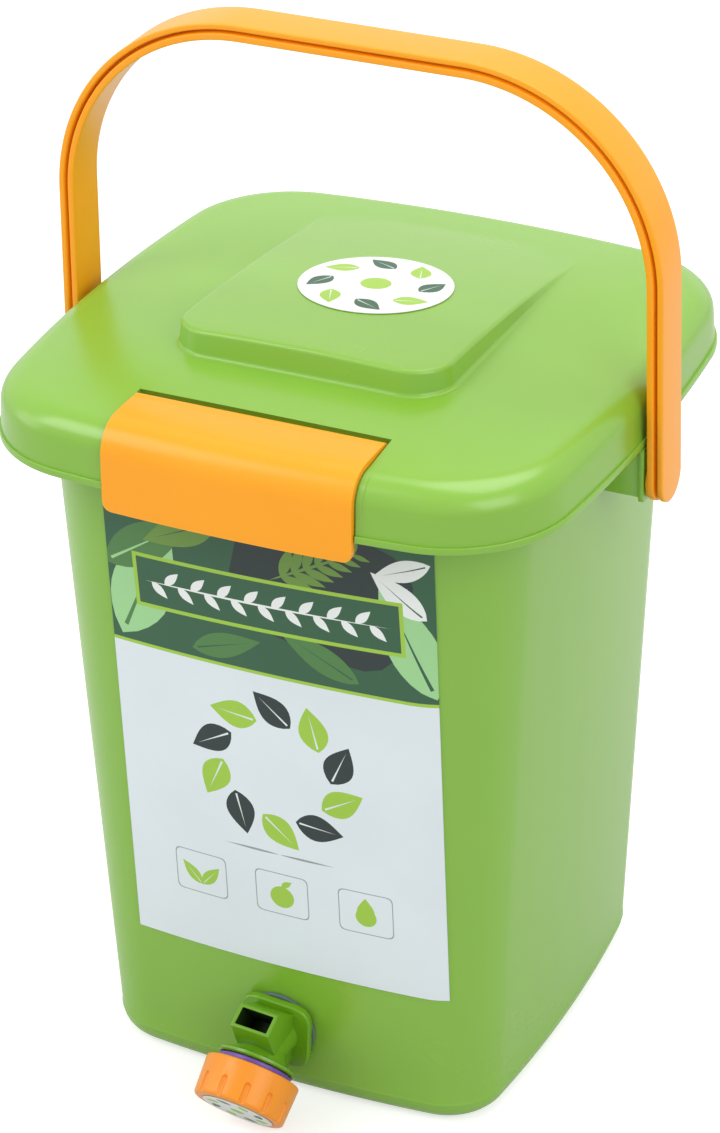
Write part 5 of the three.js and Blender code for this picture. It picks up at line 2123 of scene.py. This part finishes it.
@dataclass
class Sheet:
    """A thin printed sheet, laid on a surface."""

    name: str
    design: Print
    place: Place
    spacing: float
    thick: float = 0.3 * MM

    def _areas(self) -> tuple[list[Vector], list[tuple[int, ...]], list[Ink]]:
        """Cut the sheet, whose outline is the design's first layer, into faces of one ink each.

        Returns:
            The flat points, the faces and each face's ink.
        """
        points: list[Vector] = []
        shapes: list[list[int]] = []
        for outline, _ink in self.design.layers:
            fine = subdivided(outline, self.spacing)
            shapes.append(list(range(len(points), len(points) + len(fine))))
            points += [Vector(p) for p in fine]
        frame = np.array(self.design.layers[0][0])
        rows = [np.arange(low + self.spacing, high, self.spacing)
                for low, high in zip(frame.min(0), frame.max(0))]
        points += [Vector((float(u), float(v))) for u in rows[0] for v in rows[1]]
        flat, _edges, faces, _from_point, _from_edge, from_shape = delaunay_2d_cdt(
            points, [], shapes, 0, MERGE)
        kept = [(tuple(face), self.design.layers[max(origins)][1])
                for face, origins in zip(faces, from_shape) if 0 in origins]
        return flat, [face for face, _ink in kept], [ink for _face, ink in kept]

    def build(self, shop: Workshop) -> Object:
        """Make the sheet with one material for each ink.

        Args:
            shop: Gives the inks' materials.

        Returns:
            The sheet.
        """
        flat, faces, face_inks = self._areas()
        inks = sorted({ink for _outline, ink in self.design.layers}, key=lambda ink: ink.name)
        mesh = bpy.data.meshes.new(self.name)
        mesh.from_pydata([self.place(p.x, p.y, SIZES.fit + self.thick) for p in flat], [], faces)
        for polygon, ink in zip(mesh.polygons, face_inks):
            polygon.material_index = inks.index(ink)
        for ink in inks:
            mesh.materials.append(shop.material(ink))
        with edited(mesh) as work:
            loose = [vertex for vertex in work.verts if not vertex.link_faces]
            bmesh.ops.delete(work, geom=loose, context="VERTS")
            normal = sum((face.normal * face.calc_area() for face in work.faces), Vector())
            outward = Vector(self.place(0, 0, 1)) - Vector(self.place(0, 0, 0))
            if normal.dot(outward) < 0:
                bmesh.ops.reverse_faces(work, faces=work.faces)
        piece = linked(self.name, mesh)
        modify(piece, "SOLIDIFY", thickness=self.thick, offset=-1)
        return piece


@dataclass(frozen=True)
class Leaf:
    """A leaf of the label's design, in millimetres and degrees."""

    x: float
    z: float
    length: float
    width: float
    turn: float
    ink: Ink = Ink.LIME
    vein: Ink | None = None

    def draw(self, design: Print, x: float = 0, z: float = 0) -> None:
        """Paint the leaf, moved by distances across and up."""
        base = (x + self.x * MM, z + self.z * MM)
        design.leaf(base, self.length * MM, self.width * MM, self.turn, self.ink, self.vein)


@dataclass(frozen=True)
class Icon:
    """A motif of one of the label's small frames, in millimetres from the frame's middle."""

    x: float
    leaves: tuple[Leaf, ...]
    round_z: float = 0
    round_r: float = 0

    def draw(self, design: Print, z: float) -> None:
        """Paint the motif at a height: its round, if it has one, and then its leaves.

        Args:
            design: The design to paint on.
            z: The height.
        """
        if self.round_r:
            design.disc((self.x * MM, z + self.round_z * MM), self.round_r * MM, Ink.LIME)
        for leaf in self.leaves:
            leaf.draw(design, self.x * MM, z)


@dataclass
class Labels:
    """The front label and the two round stickers, with a generic leaf design."""

    left: float = -68.5 * MM
    right: float = 79.5 * MM
    bottom: float = 69 * MM
    top: float = 296 * MM
    band_z: float = 221 * MM
    band_line: float = 1.6 * MM
    band_leaves: tuple[Leaf, ...] = (
        Leaf(-64, 224, 66, 28, 66, Ink.PALE, Ink.MID), Leaf(-70, 258, 52, 19, 34, Ink.MID, Ink.PALE),
        Leaf(-30, 226, 34, 12, 18, Ink.MID, Ink.DARK), Leaf(-14, 290, 40, 15, 205, Ink.OLIVE, Ink.DARK),
        Leaf(79, 224, 60, 22, 112, Ink.PALE, Ink.DARK), Leaf(46, 226, 40, 13, 152, Ink.MID, Ink.DARK),
        Leaf(76, 262, 30, 12, 140, Ink.CHALK, Ink.DARK), Leaf(78, 288, 26, 10, 200, Ink.CHALK, Ink.DARK))
    shadow_centre: Pair = (30 * MM, 268 * MM)
    shadow_size: Pair = (78 * MM, 62 * MM)
    shadow_turn: float = -14
    shadow_corner: float = 22 * MM
    fern_base: Pair = (8 * MM, 268 * MM)
    fern_length: float = 46 * MM
    fern_turn: float = 28
    fern_pairs: int = 7
    plaque_centre: Pair = (5.3 * MM, 254.7 * MM)
    plaque_size: Pair = (122.5 * MM, 26 * MM)
    plaque_turn: float = 1.3
    plaque_border: float = 1.8 * MM
    sprig_count: int = 17
    sprig_pitch: float = 6.2 * MM
    sprig_leaf: Pair = (9.6 * MM, 4 * MM)
    sprig_stem: float = 1 * MM
    sprig_lean: float = 44
    wreath_centre: Pair = (5.9 * MM, 172.7 * MM)
    wreath_r: float = 25 * MM
    wreath_count: int = 10
    wreath_leaf: Pair = (22 * MM, 13.5 * MM)
    rule: tuple[Leaf, ...] = (Leaf(5, 129.5, 26, 1.1, 180, Ink.GREY), Leaf(5, 129.5, 26, 1.1, 0, Ink.GREY))
    icon_z: float = 108.5 * MM
    icon_size: Pair = (25 * MM, 22 * MM)
    icon_line: float = 0.45 * MM
    icon_corner: float = 3 * MM
    icons: tuple[Icon, ...] = (
        Icon(-34, (Leaf(0, -6, 14, 6, 50, vein=Ink.WHITE), Leaf(0, -6, 14, 6, 130, vein=Ink.WHITE))),
        Icon(5, (Leaf(0, 4, 6, 3, 35),), -1.5, 5.6),
        Icon(44, (Leaf(0, -5, 13, 8.2, 90),), -2, 4.8))
    round_shares: tuple[float, ...] = (0.6, 0.46, 0.27, 0.2)
    round_count: int = 8
    lid_sticker_r: float = 33 * MM
    lid_sticker_y: float = 12.8 * MM
    spacing: float = 4 * MM
    lid_spacing: float = 3 * MM

    def front(self) -> Print:
        """The front label's design: leaves on a dark band, a blank plaque, a wreath and small frames.

        Returns:
            The design.
        """
        design = Print()
        width, middle = self.right - self.left, (self.left + self.right) / 2
        design.box((middle, (self.bottom + self.top) / 2), (width, self.top - self.bottom), Ink.DARK)
        design.box(self.shadow_centre, self.shadow_size, Ink.NIGHT, self.shadow_turn, self.shadow_corner)
        for leaf in self.band_leaves:
            leaf.draw(design)
        design.fern(self.fern_base, self.fern_length, self.fern_turn, self.fern_pairs, Ink.OLIVE)
        field_height, line = self.band_z - self.bottom, self.band_line
        design.box((middle, self.band_z), (width, line), Ink.LIME)
        design.box((middle, self.bottom + field_height / 2 - line / 4), (width, field_height - line / 2),
                   Ink.WHITE)
        design.box(self.plaque_centre, self.plaque_size, Ink.LIME, self.plaque_turn)
        inner = tuple(size - 2 * self.plaque_border for size in self.plaque_size)
        design.box(self.plaque_centre, inner, Ink.DARK, self.plaque_turn)
        self._sprig(design)
        design.wreath(self.wreath_centre, self.wreath_r, self.wreath_count, *self.wreath_leaf,
                      (Ink.NIGHT, Ink.LIME))
        for leaf in self.rule:
            leaf.draw(design)
        width, height = self.icon_size
        for icon in self.icons:
            centre = (icon.x * MM, self.icon_z)
            design.box(centre, (width, height), Ink.GREY, 0, self.icon_corner)
            design.box(centre, (width - 2 * self.icon_line, height - 2 * self.icon_line), Ink.WHITE, 0,
                       self.icon_corner)
            icon.draw(design, self.icon_z)
        return design

    def _sprig(self, design: Print) -> None:
        """Paint a stem along the plaque's middle, with leaves on both sides in turn.

        Args:
            design: The label's design.
        """
        x, z = self.plaque_centre
        slope = math.tan(math.radians(self.plaque_turn))
        reach = (self.sprig_count + 1) / 2 * self.sprig_pitch
        turn = self.plaque_turn
        design.leaf((x - reach, z - slope * reach), 2 * reach, self.sprig_stem, turn, Ink.CHALK)
        for i in range(self.sprig_count):
            along = (i - self.sprig_count / 2) * self.sprig_pitch
            lean = self.sprig_lean if i % 2 else -self.sprig_lean
            design.leaf((x + along, z + slope * along), *self.sprig_leaf, turn + lean, Ink.CHALK)

    def round(self, radius: float) -> Print:
        """A round sticker's design: a wreath in a thin ring, with a dot in the middle.

        Args:
            radius: Radius of the sticker.

        Returns:
            The design.
        """
        design = Print()
        ring, length, width, dot = (radius * share for share in self.round_shares)
        design.disc((0, 0), radius, Ink.CHALK, 96)
        design.wreath((0, 0), ring, self.round_count, length, width, (Ink.DARK, Ink.LIME))
        design.disc((0, 0), dot, Ink.LIME)
        return design

    def make(self, shop: Workshop, lid: Lid, tap: Tap) -> None:
        """Build and dress the label and both stickers.

        Args:
            shop: Dresses the pieces.
            lid: The lid, whose wedge carries a sticker.
            tap: The tap, whose knob carries the other.
        """
        def on_wall(x: float, z: float, lift: float) -> Point:
            """Place on the bucket's front."""
            return x, SIZES.wall_shape(z, lift).front(x), z

        def on_wedge(x: float, y: float, lift: float) -> Point:
            """Place on the lid's wedge."""
            y += self.lid_sticker_y
            return x, y, lid.top_at(x, y) + lift

        def on_knob(x: float, y: float, lift: float) -> Point:
            """Place on the knob's face."""
            return tuple(tap.valve @ Vector((x, y, tap.knob_end - SIZES.print_dip + lift)))

        lid_design, knob_design = self.round(self.lid_sticker_r), self.round(tap.sticker_r)
        for sheet, body, node in (
            (Sheet("label", self.front(), on_wall, self.spacing), "bin", "front_label"),
            (Sheet("lid_round_sticker", lid_design, on_wedge, self.lid_spacing), "lid", "lid_sticker"),
            (Sheet("knob_round_sticker", knob_design, on_knob, self.spacing), "knob", "knob_sticker"),
        ):
            shop.dress(sheet.build(shop), Slot.PRINT, body, node)


# The studio


@dataclass(frozen=True)
class Lamp:
    """A soft square lamp. Its power is in watts."""

    name: str
    place: Point
    size: float
    power: float

    def make(self, target: Vector) -> None:
        """Put the lamp in the scene, pointing at a target.

        Args:
            target: The place that it points at.
        """
        data = bpy.data.lights.new(self.name, "AREA")
        data.size = self.size
        data.energy = self.power
        lamp = linked(self.name, data)
        lamp.location = self.place
        lamp.rotation_euler = (target - Vector(self.place)).to_track_quat("-Z", "Y").to_euler()


@dataclass
class Studio:
    """Camera, lamps, floor and backdrop."""

    camera_place: Point = (0.6116, -1.2653, 1.0156)
    yaw_deg: float = 25.95
    pitch_deg: float = 29.66
    roll_deg: float = 1.27
    lens: float = 118.17
    sensor: float = 36
    floor_size: float = 12
    floor_grey: float = 0.6
    floor_glow: float = 0.6
    mirrored_share: float = 0.35
    world_seen: float = 1.12
    world_light: float = 0.74
    target: Point = (0, 0, 0.2)
    lamps: tuple[Lamp, ...] = (
        Lamp("key", (-1.8, -1.6, 2.4), 1.6, 27), Lamp("side", (-2.6, -1.0, 0.9), 1.4, 9),
        Lamp("fill", (2.2, -1.1, 1.9), 1.8, 24), Lamp("top", (0.2, 0.9, 2.8), 1.8, 30))

    def camera(self) -> None:
        """Set up the camera at the photograph's viewing angle."""
        yaw, pitch, roll = (math.radians(a) for a in (self.yaw_deg, self.pitch_deg, self.roll_deg))
        level = math.cos(pitch)
        ahead = Vector((-math.sin(yaw) * level, math.cos(yaw) * level, -math.sin(pitch)))
        right = Vector((math.cos(yaw), math.sin(yaw), 0))
        down = ahead.cross(right)
        across = math.cos(roll) * right + math.sin(roll) * down
        lower = -math.sin(roll) * right + math.cos(roll) * down
        data = bpy.data.cameras.new("camera")
        data.lens = self.lens
        data.sensor_width = self.sensor
        data.sensor_fit = "AUTO"
        camera = linked("camera", data)
        turn = Matrix((across, -lower, -ahead)).transposed().to_4x4()
        camera.matrix_world = Matrix.Translation(self.camera_place) @ turn
        bpy.context.scene.camera = camera

    def world(self) -> None:
        """A plain pale world, white to the camera and in reflections."""
        world = bpy.data.worlds.new("studio")
        world.use_nodes = True
        tree = world.node_tree
        back = tree.nodes["Background"]
        back.inputs["Color"].default_value = (1, 1, 1, 1)
        path = add_node(tree, "ShaderNodeLightPath")
        level = add_node(tree, "ShaderNodeMapRange", {
            "Value": path["Is Diffuse Ray"], "To Min": self.world_seen, "To Max": self.world_light})
        tree.links.new(level["Result"], back.inputs["Strength"])
        bpy.context.scene.world = world

    def floor(self) -> None:
        """A pale floor, lifted to white for the camera, that keeps the object's shadow."""
        half, grey = self.floor_size / 2, self.floor_grey
        mesh = bpy.data.meshes.new("floor")
        mesh.from_pydata([(x, y, 0) for x, y in rectangle(-half, -half, half, half)], [], [(0, 1, 2, 3)])
        material = new_material("floor_white")
        tree = material.node_tree
        path = add_node(tree, "ShaderNodeLightPath")
        seen = add_node(tree, "ShaderNodeMath", {
            0: path["Is Glossy Ray"], 1: self.mirrored_share, 2: path["Is Camera Ray"]},
            operation="MULTIPLY_ADD")
        level = add_node(tree, "ShaderNodeMath", {0: seen["Value"], 1: self.floor_glow},
                         operation="MULTIPLY")
        matt = add_node(tree, "ShaderNodeBsdfDiffuse", {"Color": (grey, grey, grey, 1)})
        glow = add_node(tree, "ShaderNodeEmission", {"Strength": level["Value"]})
        both = add_node(tree, "ShaderNodeAddShader", {0: matt["BSDF"], 1: glow["Emission"]})
        add_node(tree, "ShaderNodeOutputMaterial", {"Surface": both["Shader"]})
        mesh.materials.append(material)
        floor = linked("floor", mesh)

    def make(self) -> None:
        """Build the studio."""
        self.camera()
        self.world()
        self.floor()
        for lamp in self.lamps:
            lamp.make(Vector(self.target))
        bpy.context.scene.view_settings.view_transform = "Standard"


def corners(bounds: Sequence[Sequence[float]]) -> list[list[float]]:
    """Plain lists of numbers from a box's corners."""
    return [[float(value) for value in corner] for corner in bounds]


def main() -> None:
    """Build the compost bin's looks round the frame."""
    logging.basicConfig(level=logging.INFO, format="%(message)s")
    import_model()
    Studio().make()
    shop = Workshop()
    tap, lid, latch = Tap(), Lid(), Latch()
    Bucket().make(shop, tap.matrix, tap.shank_r)
    lid.make(shop, latch)
    latch.make(shop)
    HingePins().make(shop)
    Bail().make(shop)
    tap.make(shop)
    Strainer().make(shop)
    Labels().make(shop, lid, tap)


if __name__ == "__main__":
    main()
